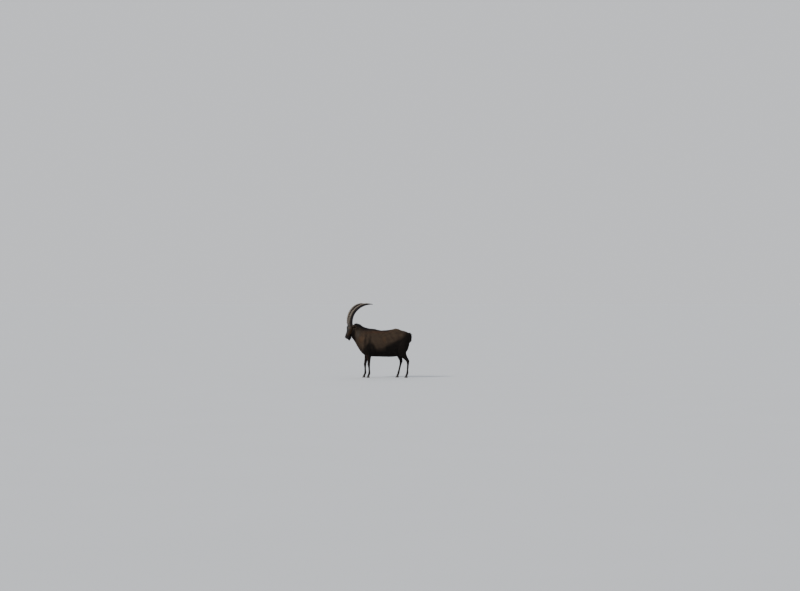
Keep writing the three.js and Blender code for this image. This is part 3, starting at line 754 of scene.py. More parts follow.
def tuftPoints(t, stops, swell):
    side = unit(np.cross(t["lie"], t["up"]))
    column = lambda v: np.asarray(v, float)[:, None]
    points = np.empty((len(t["root"]), len(stops) * 3 + 1, 3))
    for k, u in enumerate([*stops, 1.0]):
        high = t["rise"] * (1 - (1 - u) ** 1.6) - (t["sunk"] if u == 0 else 0)
        centre = t["root"] + t["lie"] * column(t["length"] * u) + t["up"] * column(high)
        centre = centre + t["sway"] * u**1.4
        if u == 1.0:
            points[:, -1] = centre
            continue
        half = column(t["width"] * swell[k] / 2)
        points[:, 3 * k] = centre - side * half
        points[:, 3 * k + 1] = centre + side * half
        points[:, 3 * k + 2] = centre + t["up"] * half * 1.1
    return points


# Faces of one closed tuft: its foot, its sides and its tip, with the place of each corner in the tuft's patch
def tuftFaces(stops):
    faces = [(0, 1, 2)]
    places = [(0.0, 0.0), (0.5, 0.0), (0.25, 0.15)]
    for k in range(len(stops)):
        for i in range(3):
            j = (i + 1) % 3
            low = stops[k]
            if k == len(stops) - 1:
                faces.append((3 * k + i, 3 * k + 3, 3 * k + j))
                places += [(i / 3, low), ((i + 0.5) / 3, 1.0), ((i + 1) / 3, low)]
            else:
                high = stops[k + 1]
                faces.append((3 * k + i, 3 * k + 3 + i, 3 * k + 3 + j, 3 * k + j))
                places += [(i / 3, low), (i / 3, high), ((i + 1) / 3, high), ((i + 1) / 3, low)]
    return faces, np.array(places)


# One mesh of closed, three-sided, tapered tufts, each with a small patch of the unwrap at its root's place
def tuftMesh(name, t, form):
    stops = tuftForms[form]["stops"]
    points = tuftPoints(t, stops, tuftForms[form]["swell"])
    count, each = points.shape[:2]
    faces, places = tuftFaces(stops)
    corners = np.concatenate(faces)[None, :] + np.arange(count)[:, None] * each
    sizes = np.tile([len(f) for f in faces], count)
    starts = np.concatenate([[0], np.cumsum(sizes)[:-1]])
    me = bpy.data.meshes.new(name)
    me.vertices.add(count * each)
    me.vertices.foreach_set("co", points.astype(np.float32).ravel())
    me.loops.add(corners.size)
    me.loops.foreach_set("vertex_index", corners.ravel().astype(np.int32))
    me.polygons.add(len(sizes))
    me.polygons.foreach_set("loop_start", starts.astype(np.int32))
    me.update(calc_edges=True)
    me.shade_smooth()
    softened = unit(vertexNormals(me) * 0.5 + np.repeat(t["up"], each, 0) * 0.6)
    me.normals_split_custom_set_from_vertices(softened.astype(np.float32))
    colour = np.ones((count, each, 4))
    colour[:, :, :3] = t["colour"][:, None, :]
    store(me, "coatColour", "FLOAT_COLOR", colour)
    store(me, "hairAlong", "FLOAT", np.tile([*np.repeat(stops, 3), 1.0], count))
    storeUnwrap(me, np.clip(t["spot"], 0.004, 0.996)[:, None, :] + (places[None] - 0.5) * patchSize)
    return linked(name, me)


# The middle of neck and trunk: how high it lies at places from the neck to the tail
trunkMiddle = [(-0.5, 0.93), (-0.4, 0.86), (-0.25, 0.72), (0.0, 0.65), (0.55, 0.68), (0.62, 0.78)]


# Where a point of a part lies round and along it
def unwrap(p, name):
    if name == "head":
        local = toHead(p)
        around = np.arctan2(local[:, 0], local[:, 2] + 12)
        along = local[:, 1]
    elif name in ("torso", "neck", "tail"):
        middleZ = np.interp(p[:, 1], [y for y, _ in trunkMiddle], [z for _, z in trunkMiddle])
        around = np.arctan2(p[:, 0] - midline, p[:, 2] - middleZ)
        along = p[:, 1] if name != "tail" else p[:, 2]
    else:
        middleX = midline + np.where(p[:, 0] > midline, 0.079, -0.079)
        middleY = p[:, 1].mean()
        around = np.arctan2(p[:, 0] - middleX, -(p[:, 1] - middleY))
        along = p[:, 2]
    return np.stack([around, along], 1)


# Places made to fill the unwrap, from 0 to 1
def spreadOut(spots):
    low = spots.min(0)
    high = spots.max(0)
    return 0.01 + 0.98 * (spots - low) / np.maximum(high - low, 1e-6)


# Evenly spread places on a surface, with its values at each
def scatter(me, values, weight, seed):
    me.calc_loop_triangles()
    tris = np.empty(len(me.loop_triangles) * 3, np.int32)
    me.loop_triangles.foreach_get("vertices", tris)
    tris = tris.reshape(-1, 3)
    points = coordinates(me)
    a, b, c = (points[tris[:, k]] for k in range(3))
    area = np.linalg.norm(np.cross(b - a, c - a), axis=1) / 2
    expected = area * weight[tris].mean(1)
    total = np.cumsum(expected)
    draw = np.random.default_rng(seed)
    picks = np.searchsorted(total, np.arange(int(total[-1])) + draw.uniform(0, 1))
    picks = picks[picks < len(tris)]
    u = draw.uniform(size=len(picks))
    v = draw.uniform(size=len(picks))
    flip = u + v > 1
    u[flip] = 1 - u[flip]
    v[flip] = 1 - v[flip]
    shares = np.stack([1 - u - v, u, v], 1)
    found = {}
    for key, value in values.items():
        own = shares if value.ndim == 1 else shares[:, :, None]
        found[key] = (value[tris[picks]] * own).sum(1)
    return found


# The tips of neighbouring tufts drawn together into locks
def gatherTips(root, tip, every, share, seed):
    draw = np.random.default_rng(seed)
    chosen = draw.choice(len(root), max(len(root) // every, 1), replace=False)
    tree = KDTree(len(chosen))
    for k, i in enumerate(chosen):
        tree.insert(root[i], k)
    tree.balance()
    near = chosen[[tree.find(p)[1] for p in root]]
    return (tip[near] - tip) * share[:, None]


# Share of the hair that grows: none on nostrils, lids, nose and lips
def bareShare(p):
    local = toHead(p)
    keep = ramp(nostrilPlace(local)[0], 6.5, 10)
    for side in sideNames:
        along, up, far = eyePlane(p, side)
        keep *= np.where(far < 30, ramp(lidRim(along, up), 1.2, 1.36), 1)
    keep *= 1 - ramp(local[:, 1], 273, 280) * ramp(local[:, 2], -30, -20)
    over, share = mouthPlace(local)
    keep *= 1 - (1 - ramp(np.abs(over), 2.6, 5.0)) * ramp(share, -0.03, 0.08)
    return keep


# Share of the full hair length left round the mouth, the nose and the eyes
def nearFeatures(p):
    local = toHead(p)
    eyes = np.linalg.norm(mirrored(local) - np.array(eye["at"]), axis=1)
    over, share = mouthPlace(local)
    full = ramp(nostrilPlace(local)[0], 8, 34) * ramp(eyes, 16, 42)
    full = full * (1 - (1 - ramp(np.abs(over), 3, 20)) * ramp(share, -0.15, 0.1))
    return 0.38 + 0.62 * full


# Lengths, lie and colour of one part's tufts, each a little different
def combTufts(t, name, k):
    count = len(t["root"])
    draw = np.random.default_rng(coatSeed + 50 + k)
    t["up"] = unit(t["up"])
    flow = levelled(t["lie"], t["up"])
    turn = 0.22 * swirl(t["root"], 3, 0.09) + draw.normal(0, 0.12, count)
    t["lie"] = unit(flow + np.cross(t["up"], flow) * turn[:, None])
    t["length"] = t["length"] * mm * draw.uniform(0.72, 1.2, count)
    t["width"] = t["width"] * mm * draw.uniform(0.7, 1.2, count)
    t["sunk"] = t["depth"] * mm * 0.25 + 0.3 * mm
    t["rise"] = t["depth"] * mm * draw.uniform(0.8, 1.7, count)
    if name == "cannon":
        low = 1 - ramp(t["root"][:, 2], 0.045, 0.085)
        t["length"] = t["length"] * (1 + 0.9 * low)
        t["rise"] = t["rise"] * (1 + 0.8 * low)
    if name == "head":
        short = nearFeatures(t["root"])
        t["length"] = t["length"] * short
        t["rise"] = t["rise"] * short
        t["width"] = t["width"] * (0.35 + 0.65 * short)
    if name in ("head", "neck"):
        fold = jawFold(toHead(t["root"]))
        t["lie"] = unit(t["lie"] + t["up"] * (fold * 0.9)[:, None])
        t["length"] = t["length"] * (1 - 0.45 * fold * (name == "neck"))
    tip = t["root"] + t["lie"] * t["length"][:, None]
    t["sway"] = gatherTips(t["root"], tip, 14, draw.uniform(0.25, 0.55, count), coatSeed + k)
    t["sway"] = levelled(t["sway"], t["up"], 0.8)
    tone = np.exp(draw.normal(0, 0.16, count) + 0.14 * swirl(t["root"], 9, 0.05))
    t["colour"] = coatColours(t["root"], t["up"]) * tone[:, None]


# Tufts on every part of the body, cut into pieces
def makeCoat(skinOb, part, fields):
    me = skinOb.data
    points = coordinates(me)
    lie = relaxed(lieOf(points, part), edgePairs(me), 20, 0.6)
    values = {"root": points, "up": vertexNormals(me), "lie": lie}
    values |= {key: fields[key] for key in ("length", "width", "depth")}
    keep = bareShare(points)
    pieces = []
    made = 0
    for k, name in enumerate(partNames):
        t = scatter(me, values, fields["density"] * keep * (part == k), coatSeed + k)
        combTufts(t, name, k)
        spots = unwrap(t["root"], name)
        groups = cutUp(t["root"], name, pieceLimit // shortTriangles)
        for g, chosen in enumerate(groups):
            piece = {key: value[chosen] for key, value in t.items()}
            piece["spot"] = spreadOut(spots[chosen])
            label = "coat_" + name + ("" if len(groups) == 1 else "_" + "abcdefgh"[g])
            pieces.append((tuftMesh(label, piece, "short"), name))
            made += int(chosen.sum()) * shortTriangles
        print("coat on", name, len(t["root"]), "tufts")
    print("coat:", made, "triangles in", len(pieces), "pieces")
    return pieces


# A part's tufts in groups small enough for one piece, cut across by place
def cutUp(p, name, limit):
    if name in ("thigh", "forearm", "cannon"):
        quarter = (p[:, 0] > midline).astype(int) * 2 + (p[:, 1] > 0.1)
        return [quarter == q for q in range(4)]
    count = math.ceil(len(p) / limit)
    if count == 1:
        return [np.ones(len(p), bool)]
    key = p[:, 1] if name != "head" else toHead(p)[:, 1]
    edges = np.quantile(key, np.linspace(0, 1, count + 1))
    edges[-1] += 1
    return [(key >= low) & (key < high) for low, high in zip(edges[:-1], edges[1:])]


# Ears


# Half widths and wraps of the ear at places along it, from 0 to the last of its measures
def earRows(at):
    return smoothRows(np.stack([ear["halfWidths"], ear["wraps"]], 1).astype(float), at)


# The ear's leaf, folded round its own axis, and the axes: its length, its back and its width
def makeEar(side):
    root = np.array([side * ear["root"][0], ear["root"][1], ear["root"][2]], float)
    root = poll + root @ headAxes
    axis = unit(turnedBy((side * 0.94, 0.26, 0.06), headPose["turn"]))
    back = turnedBy((side * -0.35, 0.55, 0.5), headPose["turn"])
    back = unit(back - axis * axis.dot(back))
    wide = np.cross(axis, back)
    at = np.linspace(0, len(ear["halfWidths"]) - 1, ear["rings"])
    rings = []
    for (half, wrap), r in zip(earRows(at), at):
        u = r / (len(ear["halfWidths"]) - 1)
        wrap = math.radians(wrap)
        radius = half / math.sin(min(wrap, math.pi / 2))
        along = ear["length"] * math.sin(u * math.pi / 2) ** 0.9
        centre = root + axis * along + back * (12 - radius - 16 * u * u)
        angle = np.linspace(-wrap, wrap, ear["across"] + 1)
        thin = 1 - 0.55 * np.abs(np.linspace(-1, 1, ear["across"] + 1)) ** 4
        inner = np.maximum(radius - ear["wall"] * thin, radius * 0.45)
        ring = []
        outer = np.full(len(angle), radius)
        for a, reach in [*zip(angle, outer), *zip(angle[::-1], inner[::-1])]:
            ring.append(centre + wide * reach * math.sin(a) + back * reach * math.cos(a))
        rings.append(np.array(ring) * mm)
    return loftObject("ear_" + sideNames[side] + "_skin", rings), (root * mm, axis, back, wide)


# Horns


# The outline of a horn at a place along its curve, 0 at the skull and 1 at the tip
def hornRing(side, u, knob, sides):
    lean = math.radians(horn["lean"])
    phi = lean + (math.radians(horn["end"]) - lean) * u
    back = horn["arcRadius"] * (math.cos(lean) - math.cos(phi))
    high = horn["arcRadius"] * (math.sin(phi) - math.sin(lean))
    out = horn["root"][0] + horn["spread"] * max(u, 0) ** 1.15
    start = turnedBy((0, horn["root"][1], horn["root"][2]), headPose["turn"])
    centre = poll + start + acrossFace * side * out + backwards * back + np.array([0, 0, high])
    front = -backwards * math.cos(phi) + np.array([0, 0, math.sin(phi)])
    at = np.array([max(u, 0) * (len(horn["depth"]) - 1)])
    depth, width = smoothRows(np.stack([horn["depth"], horn["width"]], 1).astype(float), at)[0] / 2
    across, up = roundOutline(depth, depth, width, 3.0, 2.3, sides)
    ahead = up / depth
    across = across * (0.84 + 0.16 * ahead)
    weight = ramp(ahead, -0.1, 0.75)
    up = up + knob * weight
    across = across + across / width * knob * 0.35 * weight
    return centre + np.outer(across, acrossFace * side) + np.outer(up, front)


# Height of the horn's knobs at a place along it: bars, steep towards the root and eased towards the tip
def knobAt(u):
    share = (u - horn["knobFrom"]) / (horn["knobTo"] - horn["knobFrom"])
    if share <= 0 or share >= 1:
        return 0.0
    k = horn["knobs"] * share ** (1 / 0.94)
    whole = math.floor(k)
    part = k - whole
    size = horn["knobHeight"] * (1 - 0.6 * (whole / horn["knobs"]) ** 1.5)
    size = size * (0.85 + 0.15 * math.cos(whole * 2.3))
    bar = float(ramp(part, 0.14, 0.36) * (1 - ramp(part, 0.52, 0.92)))
    return size * (1.12 * bar - 0.12)


# Uneven growth: fine waves round the horn and a rough grain, gone at the skull and at the tip
def roughened(ring, u, grain):
    centre = ring.mean(0)
    fade = min(max(u, 0) * 20, 1) * (1 - float(ramp(u, 0.8, 0.97)))
    fine = 0.14 * math.sin(u * 540 + 5 * math.sin(u * 37))
    coarse = 0.20 * math.sin(u * 233 + 3 * math.sin(u * 19))
    return centre + (ring - centre) * (1 + fade * (1.1 * grain[:, None] + (fine + coarse) * 0.5) / 30)


def makeHorn(side):
    start = -horn["sunk"] / (horn["arcRadius"] * math.radians(horn["end"] - horn["lean"]))
    stops = np.concatenate([[start], np.linspace(0, 0.995, horn["rings"])])
    draw = np.random.default_rng(7 + side)
    rough = draw.normal(0, 1, (len(stops), horn["sides"]))
    for _ in range(3):
        rough = (rough + np.roll(rough, 1, 0) + np.roll(rough, 1, 1) + np.roll(rough, -1, 1)) / 4
    rings = []
    for u, grain in zip(stops, rough):
        rings.append(roughened(hornRing(side, u, knobAt(u), horn["sides"]), u, grain) * mm)
    tip = hornRing(side, 1.003, 0, 8).mean(0) * mm
    ob = loftObject("horn_" + sideNames[side] + "_dressed", rings, rings[0].mean(0), tip)
    markHorn(ob.data, rings, stops)
    return ob


# Place along the horn, towards its front, and height of the knobs, kept on its points for the finish
def markHorn(me, rings, stops):
    flat = np.concatenate(rings)
    tree = KDTree(len(flat))
    for i, p in enumerate(flat):
        tree.insert(p, i)
    tree.balance()
    nearest = np.array([tree.find(p)[1] for p in coordinates(me)])
    along = stops[nearest // horn["sides"]]
    store(me, "hornAlong", "FLOAT", along)
    store(me, "hornAhead", "FLOAT", np.cos(nearest % horn["sides"] / horn["sides"] * 2 * math.pi))
    store(me, "hornKnob", "FLOAT", [knobAt(u) / horn["knobHeight"] for u in along])


# Hooves: two claws to a foot, each a smooth shell with a hard edge at the sole

hoof = {
    "length": 68,
    "halfWidth": 13,
    "slope": 0.18,
    "drawnIn": 0.46,
    "narrowed": 0.14,
    "toe": 0.55,
    "top": 56,
    "edge": 43,
    "rise": 0.206,
    "sides": 44,
    "levels": 30,
}

dewclaw = {"length": 26, "radius": 7.4, "tilt": 28, "inwards": 2.5, "tip": 0.8, "sides": 20, "levels": 14}


# The claw's hollow top lies inside the skin, a little over the slanted edge of the coat
def makeClaw(node):
    low, high = (np.array(corner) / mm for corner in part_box(node))
    middleX = (low[0] + high[0]) / 2
    middleY = low[1] + hoof["length"] / 2
    legSide = 1 if middleX > midline / mm else -1
    towardsCleft = -legSide if node.endswith("_outer") else legSide
    a = np.arange(hoof["sides"]) / hoof["sides"] * 2 * np.pi
    ahead = np.cos(a)
    taper = 1 - hoof["toe"] * np.maximum(ahead, 0) ** 2.4
    rings = []
    for k in range(hoof["levels"]):
        z = hoof["top"] * (k / (hoof["levels"] - 1)) ** 1.15
        up = z / 44
        edge = 1 - 0.05 * math.exp(-z / 1.0)
        band = 0.02 * math.exp(-(((z - 30) / 3.5) ** 2)) - 0.42 * float(ramp(z, 32, 46))
        ripple = 1 + 0.007 * math.sin(z * 1.7 + 0.4 * middleX) * min(z / 8, 1) + band
        length = hoof["length"] * (1 - hoof["drawnIn"] * up) * ripple * edge
        half = hoof["halfWidth"] * (1 - hoof["narrowed"] * up) * ripple * edge
        y = -(length / 2) * ahead + hoof["slope"] * z
        x = half * np.sign(np.sin(a)) * np.abs(np.sin(a)) ** 0.8 * taper
        x = x + towardsCleft * 3 * np.maximum(ahead, 0)
        level = np.minimum(z, hoof["edge"] - hoof["rise"] * y)
        rings.append(np.stack([middleX + x, middleY + y, level], 1) * mm)
    return loftObject(node + "_shell", rings, rings[0].mean(0), rings[-1].mean(0))


# A tilted egg, its foot a little behind the node's own
def makeDewclaw(node):
    low, high = (np.array(corner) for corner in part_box(node))
    centre = (low + high) / 2 - np.array([0, dewclaw["inwards"] * mm, 0])
    rings = []
    tilt = math.radians(dewclaw["tilt"])
    for k in range(1, dewclaw["levels"]):
        t = k / dewclaw["levels"]
        z = dewclaw["length"] / 2 * math.cos(math.pi * t)
        wide = dewclaw["radius"] * math.sin(math.pi * t) ** 0.8 * (1 - 0.25 * t)
        wide = wide * (1 + 0.03 * math.sin(z * 2.2))
        a = np.arange(dewclaw["sides"]) / dewclaw["sides"] * 2 * np.pi
        x = wide * np.cos(a)
        y = wide * 0.9 * np.sin(a)
        back = y * math.cos(tilt) - z * math.sin(tilt)
        up = y * math.sin(tilt) + z * math.cos(tilt)
        rings.append(centre + np.stack([x, back, up], 1) * mm)
    tip = np.array([0, 0, dewclaw["tip"] * mm])
    return loftObject(node + "_shell", rings, rings[0].mean(0) + tip, rings[-1].mean(0) - tip)


# Long hair: strands along their own way that bend over at the tip


# Strands t have root, lie, length, width and colour, and tips drawn together as gather says
def strandMesh(name, t, bend, outwards, gather):
    count = len(t["root"])
    draw = np.random.default_rng(gather["seed"])
    t["lie"] = unit(t["lie"])
    t["up"] = unit(levelled(outwards, t["lie"]))
    t["rise"] = np.zeros(count)
    t["sunk"] = np.full(count, 0.5 * mm)
    tip = t["root"] + t["lie"] * t["length"][:, None] + bend
    share = draw.uniform(*gather["share"], count)
    t["sway"] = bend + gatherTips(t["root"], tip, gather["every"], share, gather["seed"])
    spots = np.stack([t["root"] @ acrossFace, t["root"] @ alongFace], 1)
    t["spot"] = spreadOut(spots + draw.normal(0, 0.002, (count, 2)))
    return tuftMesh(name, t, "strand")


beard = {
    "from": 163,
    "to": 268,
    "half": 19,
    "density": 330000,
    "length": 64,
    "width": 1.5,
    "shape": [(0, 0.6), (0.15, 0.86), (0.45, 1.04), (0.75, 1.0), (1, 0.72)],
    "gather": {"seed": 5, "every": 26, "share": (0.3, 0.7)},
    "seed": 31,
}


def makeBeard(skinOb):
    points = coordinates(skinOb.data)
    normals = vertexNormals(skinOb.data)
    local = toHead(points)
    inside = (local[:, 1] > beard["from"]) & (local[:, 1] < beard["to"]) & (local[:, 2] < -36)
    inside &= (np.abs(local[:, 0]) < beard["half"]) & (normals @ crown < -0.2)
    values = {"root": points, "up": normals}
    t = scatter(skinOb.data, values, inside * float(beard["density"]), beard["seed"])
    count = len(t["root"])
    draw = np.random.default_rng(beard["seed"])
    place = toHead(t["root"])
    across = place[:, 0] / beard["half"]
    along = (place[:, 1] - beard["from"]) / (beard["to"] - beard["from"])
    shape = np.interp(along, [at for at, _ in beard["shape"]], [share for _, share in beard["shape"]])
    length = beard["length"] * shape * (1 - 0.16 * np.abs(across)) * draw.uniform(0.72, 1.12, count) * mm
    way = np.array([0, 0.1, -1.0]) + np.outer(across * 0.22, acrossFace) + draw.normal(0, 0.06, (count, 3))
    bend = np.outer(0.18 + 0.1 * draw.uniform(size=count), backwards) - np.outer(across * 0.15, acrossFace)
    out = t["up"] + np.outer(across, acrossFace) + backwards * 0.4 + draw.normal(0, 0.3, (count, 3))
    colour = np.array(shades["dark"]) * np.exp(draw.normal(0, 0.25, count))[:, None]
    width = beard["width"] * draw.uniform(0.7, 1.2, count) * mm
    strands = {"root": t["root"], "lie": way, "length": length, "width": width, "colour": colour}
    print("beard:", count, "strands")
    return strandMesh("beard_hair", strands, bend * length[:, None], out, beard["gather"])


earHair = {
    "outside": 330000,
    "inside": 190000,
    "short": 9,
    "long": 24,
    "width": 0.9,
    "longWidth": 0.8,
    "innerSkin": (0.105, 0.072, 0.058),
    "gather": {"seed": 8, "every": 12, "share": (0.2, 0.5)},
    "seed": 61,
}


# Place along and round the ear, from 0 to 1 and from -1 to 1, and whether a point is on its inner face
def earPlace(p, root, axis, back, wide):
    away = (p - root) / mm
    t = np.clip((away @ axis) / ear["length"], 0, 1)
    u = np.arcsin(t ** (1 / 0.9)) * 2 / np.pi
    at = u * (len(ear["halfWidths"]) - 1)
    rows = earRows(at)
    radius = rows[:, 0] / np.sin(np.minimum(np.radians(rows[:, 1]), np.pi / 2))
    high = away @ back - (12 - radius - 16 * u * u)
    across = away @ wide
    angle = np.arctan2(across, high)
    return u, angle / np.radians(rows[:, 1]), np.hypot(high, across) < radius - ear["wall"] * 0.5


# Short hair on the back of the ear, lying towards its tip
def coverEar(me, values, weight, axes, draw):
    root, axis, _, wide = axes
    t = scatter(me, values, weight, earHair["seed"])
    count = len(t["root"])
    angle = earPlace(t["root"], *axes)[1]
    t["up"] = unit(t["up"])
    t["lie"] = unit(levelled(axis + np.outer(angle * 0.35, wide) + draw.normal(0, 0.12, (count, 3)), t["up"]))
    t["length"] = earHair["short"] * draw.uniform(0.6, 1.15, count) * mm
    t["width"] = earHair["width"] * draw.uniform(0.7, 1.2, count) * mm
    t["rise"] = draw.uniform(0.8, 1.8, count) * mm
    t["sunk"] = np.full(count, 0.2 * mm)
    t["sway"] = np.zeros((count, 3))
    t["colour"] = t["colour"] * np.exp(draw.normal(0, 0.2, count))[:, None]
    t["spot"] = spreadOut(np.stack([angle, (t["root"] - root) / mm @ axis], 1))
    return t


# Long pale hair that stands out of the hollow of the ear
def fillEar(me, values, weight, axes, draw):
    _, axis, _, wide = axes
    t = scatter(me, values, weight, earHair["seed"] + 1)
    count = len(t["root"])
    angle = earPlace(t["root"], *axes)[1]
    t["lie"] = axis * 0.9 - np.outer(angle * 0.6, wide) + t["up"] * 0.35 + draw.normal(0, 0.12, (count, 3))
    t["length"] = earHair["long"] * draw.uniform(0.5, 1.1, count) * (1 - 0.55 * t["u"]) * mm
    t["colour"] = np.array(shades["pale"]) * np.exp(draw.normal(-0.35, 0.25, count))[:, None]
    t["width"] = earHair["longWidth"] * draw.uniform(0.7, 1.2, count) * mm
    return t


def dressEar(earOb, side, axes):
    me = earOb.data
    points = coordinates(me)
    normals = vertexNormals(me)
    u, around, inside = earPlace(points, *axes)
    outer = np.array(shades["cheek"]) * 0.75 + np.outer(ramp(u, 0.75, 1.0), np.array(shades["dark"]) * 0.2)
    # Painted shade: the inner skin is darker deep in the hollow towards the ear's root
    inner = np.array(earHair["innerSkin"]) * (1 - 0.55 * ramp(-u, -0.45, -0.1))[:, None]
    rim = ramp(np.abs(around), 0.72, 0.98)[:, None]
    inner = inner + rim * (np.array(shades["pale"]) * 0.6 - inner) * 0.7
    colour = np.where(inside[:, None], inner, outer)
    paintPoints(me, colour, np.zeros(len(points)))
    draw = np.random.default_rng(earHair["seed"])
    values = {"root": points, "up": normals, "colour": colour}
    weight = np.where(inside, 0, earHair["outside"]) * ramp(u, 0.02, 0.1)
    short = tuftMesh("coat_ear_" + sideNames[side], coverEar(me, values, weight, axes, draw), "short")
    values = {"root": points, "up": normals, "u": u}
    weight = np.where(inside, earHair["inside"], 0) * ramp(u, 0.05, 0.2) * (1 - ramp(u, 0.8, 0.98))
    weight = weight * (0.12 + ramp(np.abs(around), 0.35, 0.8))
    t = fillEar(me, values, weight, axes, draw)
    bend = axes[1] * 0.25 * t["length"][:, None]
    return short, strandMesh("ear_hair_" + sideNames[side], t, bend, t["up"], earHair["gather"])


# Whiskers and lashes: one curved spike set along each chosen way by geometry nodes
bristles = {"rounds": 5, "steps": 6}
whiskers = {"density": 14000.0, "shortest": 9, "longest": 24, "thickness": 0.016, "bend": 0.1, "seed": 77}
lashes = {
    "count": 46,
    "pastRim": 0.8,
    "overBall": 1.4,
    "upper": 9.5,
    "lower": 4.5,
    "thickness": 0.04,
    "bend": 0.0,
    "seed": 90,
}


def bristleTree():
    tree = bpy.data.node_groups.new("bristles", "GeometryNodeTree")
    face = tree.interface
    face.new_socket("Roots", in_out="INPUT", socket_type="NodeSocketGeometry")
    sockets = {
        "Thickness": face.new_socket("Thickness", in_out="INPUT", socket_type="NodeSocketFloat"),
        "Bend": face.new_socket("Bend", in_out="INPUT", socket_type="NodeSocketFloat"),
        "Finish": face.new_socket("Finish", in_out="INPUT", socket_type="NodeSocketMaterial"),
    }
    face.new_socket("Bristles", in_out="OUTPUT", socket_type="NodeSocketGeometry")

    def add(kind, **settings):
        made = tree.nodes.new(kind)
        for key, value in settings.items():
            setattr(made, key, value)
        return made

    link = tree.links.new
    given = add("NodeGroupInput")
    spike = add("GeometryNodeMeshCone")
    spike.inputs["Vertices"].default_value = bristles["rounds"]
    spike.inputs["Side Segments"].default_value = bristles["steps"]
    spike.inputs["Radius Top"].default_value = 0.0
    spike.inputs["Depth"].default_value = 1.0
    link(given.outputs["Thickness"], spike.inputs["Radius Bottom"])
    curl = add("GeometryNodeSetPosition")
    place = add("GeometryNodeInputPosition")
    parts = add("ShaderNodeSeparateXYZ")
    square = add("ShaderNodeMath", operation="MULTIPLY")
    over = add("ShaderNodeMath", operation="MULTIPLY")
    offset = add("ShaderNodeCombineXYZ")
    link(place.outputs[0], parts.inputs[0])
    link(parts.outputs["Z"], square.inputs[0])
    link(parts.outputs["Z"], square.inputs[1])
    link(square.outputs[0], over.inputs[0])
    link(given.outputs["Bend"], over.inputs[1])
    link(over.outputs[0], offset.inputs["X"])
    link(spike.outputs["Mesh"], curl.inputs["Geometry"])
    link(offset.outputs[0], curl.inputs["Offset"])
    way = add("GeometryNodeInputNamedAttribute", data_type="FLOAT_VECTOR")
    way.inputs["Name"].default_value = "way"
    reach = add("GeometryNodeInputNamedAttribute", data_type="FLOAT")
    reach.inputs["Name"].default_value = "reach"
    turn = add("FunctionNodeAlignRotationToVector", axis="Z")
    link(way.outputs["Attribute"], turn.inputs["Vector"])
    scale = add("ShaderNodeCombineXYZ")
    for axis in ("X", "Y", "Z"):
        link(reach.outputs["Attribute"], scale.inputs[axis])
    spots = add("GeometryNodeMeshToPoints")
    link(given.outputs["Roots"], spots.inputs["Mesh"])
    each = add("GeometryNodeInstanceOnPoints")
    link(spots.outputs["Points"], each.inputs["Points"])
    link(curl.outputs["Geometry"], each.inputs["Instance"])
    link(turn.outputs["Rotation"], each.inputs["Rotation"])
    link(scale.outputs[0], each.inputs["Scale"])
    real = add("GeometryNodeRealizeInstances")
    paint = add("GeometryNodeSetMaterial")
    result = add("NodeGroupOutput")
    link(each.outputs["Instances"], real.inputs["Geometry"])
    link(real.outputs["Geometry"], paint.inputs["Geometry"])
    link(given.outputs["Finish"], paint.inputs["Material"])
    link(paint.outputs["Geometry"], result.inputs["Bristles"])
    return tree, {name: socket.identifier for name, socket in sockets.items()}


# Each bristle gets a small patch of the head's unwrap at its root's place
def patchBristles(me, roots):
    spots = np.clip(spreadOut(unwrap(np.array(roots), "head")), 0.004, 0.996)
    each = len(me.vertices) // len(roots)
    corner = np.empty(len(me.loops), np.int32)
    me.loops.foreach_get("vertex_index", corner)
    inside = np.stack([corner % each % bristles["rounds"], corner % each // bristles["rounds"]], 1)
    share = inside / np.array([bristles["rounds"], bristles["steps"] + 1]) - 0.5
    storeUnwrap(me, spots[corner // each] + share * patchSize)


# roots and ways are arrays of vectors in metres, reach the bristles' lengths, sizes their thickness and bend
def makeBristles(name, roots, ways, reach, sizes, material):
    holder = meshObject(name + "_roots", roots, [], False)
    store(holder.data, "way", "FLOAT_VECTOR", ways)
    store(holder.data, "reach", "FLOAT", reach)
    tree, sockets = bristleTree()
    grow = holder.modifiers.new("grow", "NODES")
    grow.node_group = tree
    grow[sockets["Thickness"]] = sizes["thickness"]
    grow[sockets["Bend"]] = sizes["bend"]
    grow[sockets["Finish"]] = material
    ob = linked(name, evaluated(holder))
    bpy.data.objects.remove(holder)
    patchBristles(ob.data, roots)
    ob.data.shade_smooth()
    return ob


# The way from the middle of the eyeball to a place s along and h up the opening of its lids
def eyeWay(side, s, h):
    out, long, up = eyeAxes(side)
    arc = math.hypot(s, h)
    angle = arc / eye["radius"]
    return out * math.cos(angle) + (long * s + up * h) / arc * math.sin(angle)


def makeLashes(side, material):
    out, long, up = eyeAxes(side)
    roots = []
    ways = []
    reach = []
    draw = np.random.default_rng(lashes["seed"] + side)
    for i in range(lashes["count"]):
        a = math.pi * (0.08 + 0.84 * i / (lashes["count"] - 1))
        upper = i % 4 != 3
        sign = 1 if upper else -1
        s = (eye["length"] / 2 + lashes["pastRim"]) * math.cos(a)
        h = sign * (eye["height"] / 2 + lashes["pastRim"]) * abs(math.sin(a)) ** 1.33
        roots.append(eyeCentre(side) + eyeWay(side, s, h) * (eye["radius"] + lashes["overBall"]) * mm)
        ways.append(unit(out * 0.9 + up * sign * 0.75 + long * 0.35 * math.cos(a) + draw.normal(0, 0.08, 3)))
        reach.append(lashes["upper" if upper else "lower"] * draw.uniform(0.75, 1.1) * mm)
    return makeBristles("lashes_" + sideNames[side], roots, ways, reach, lashes, material)


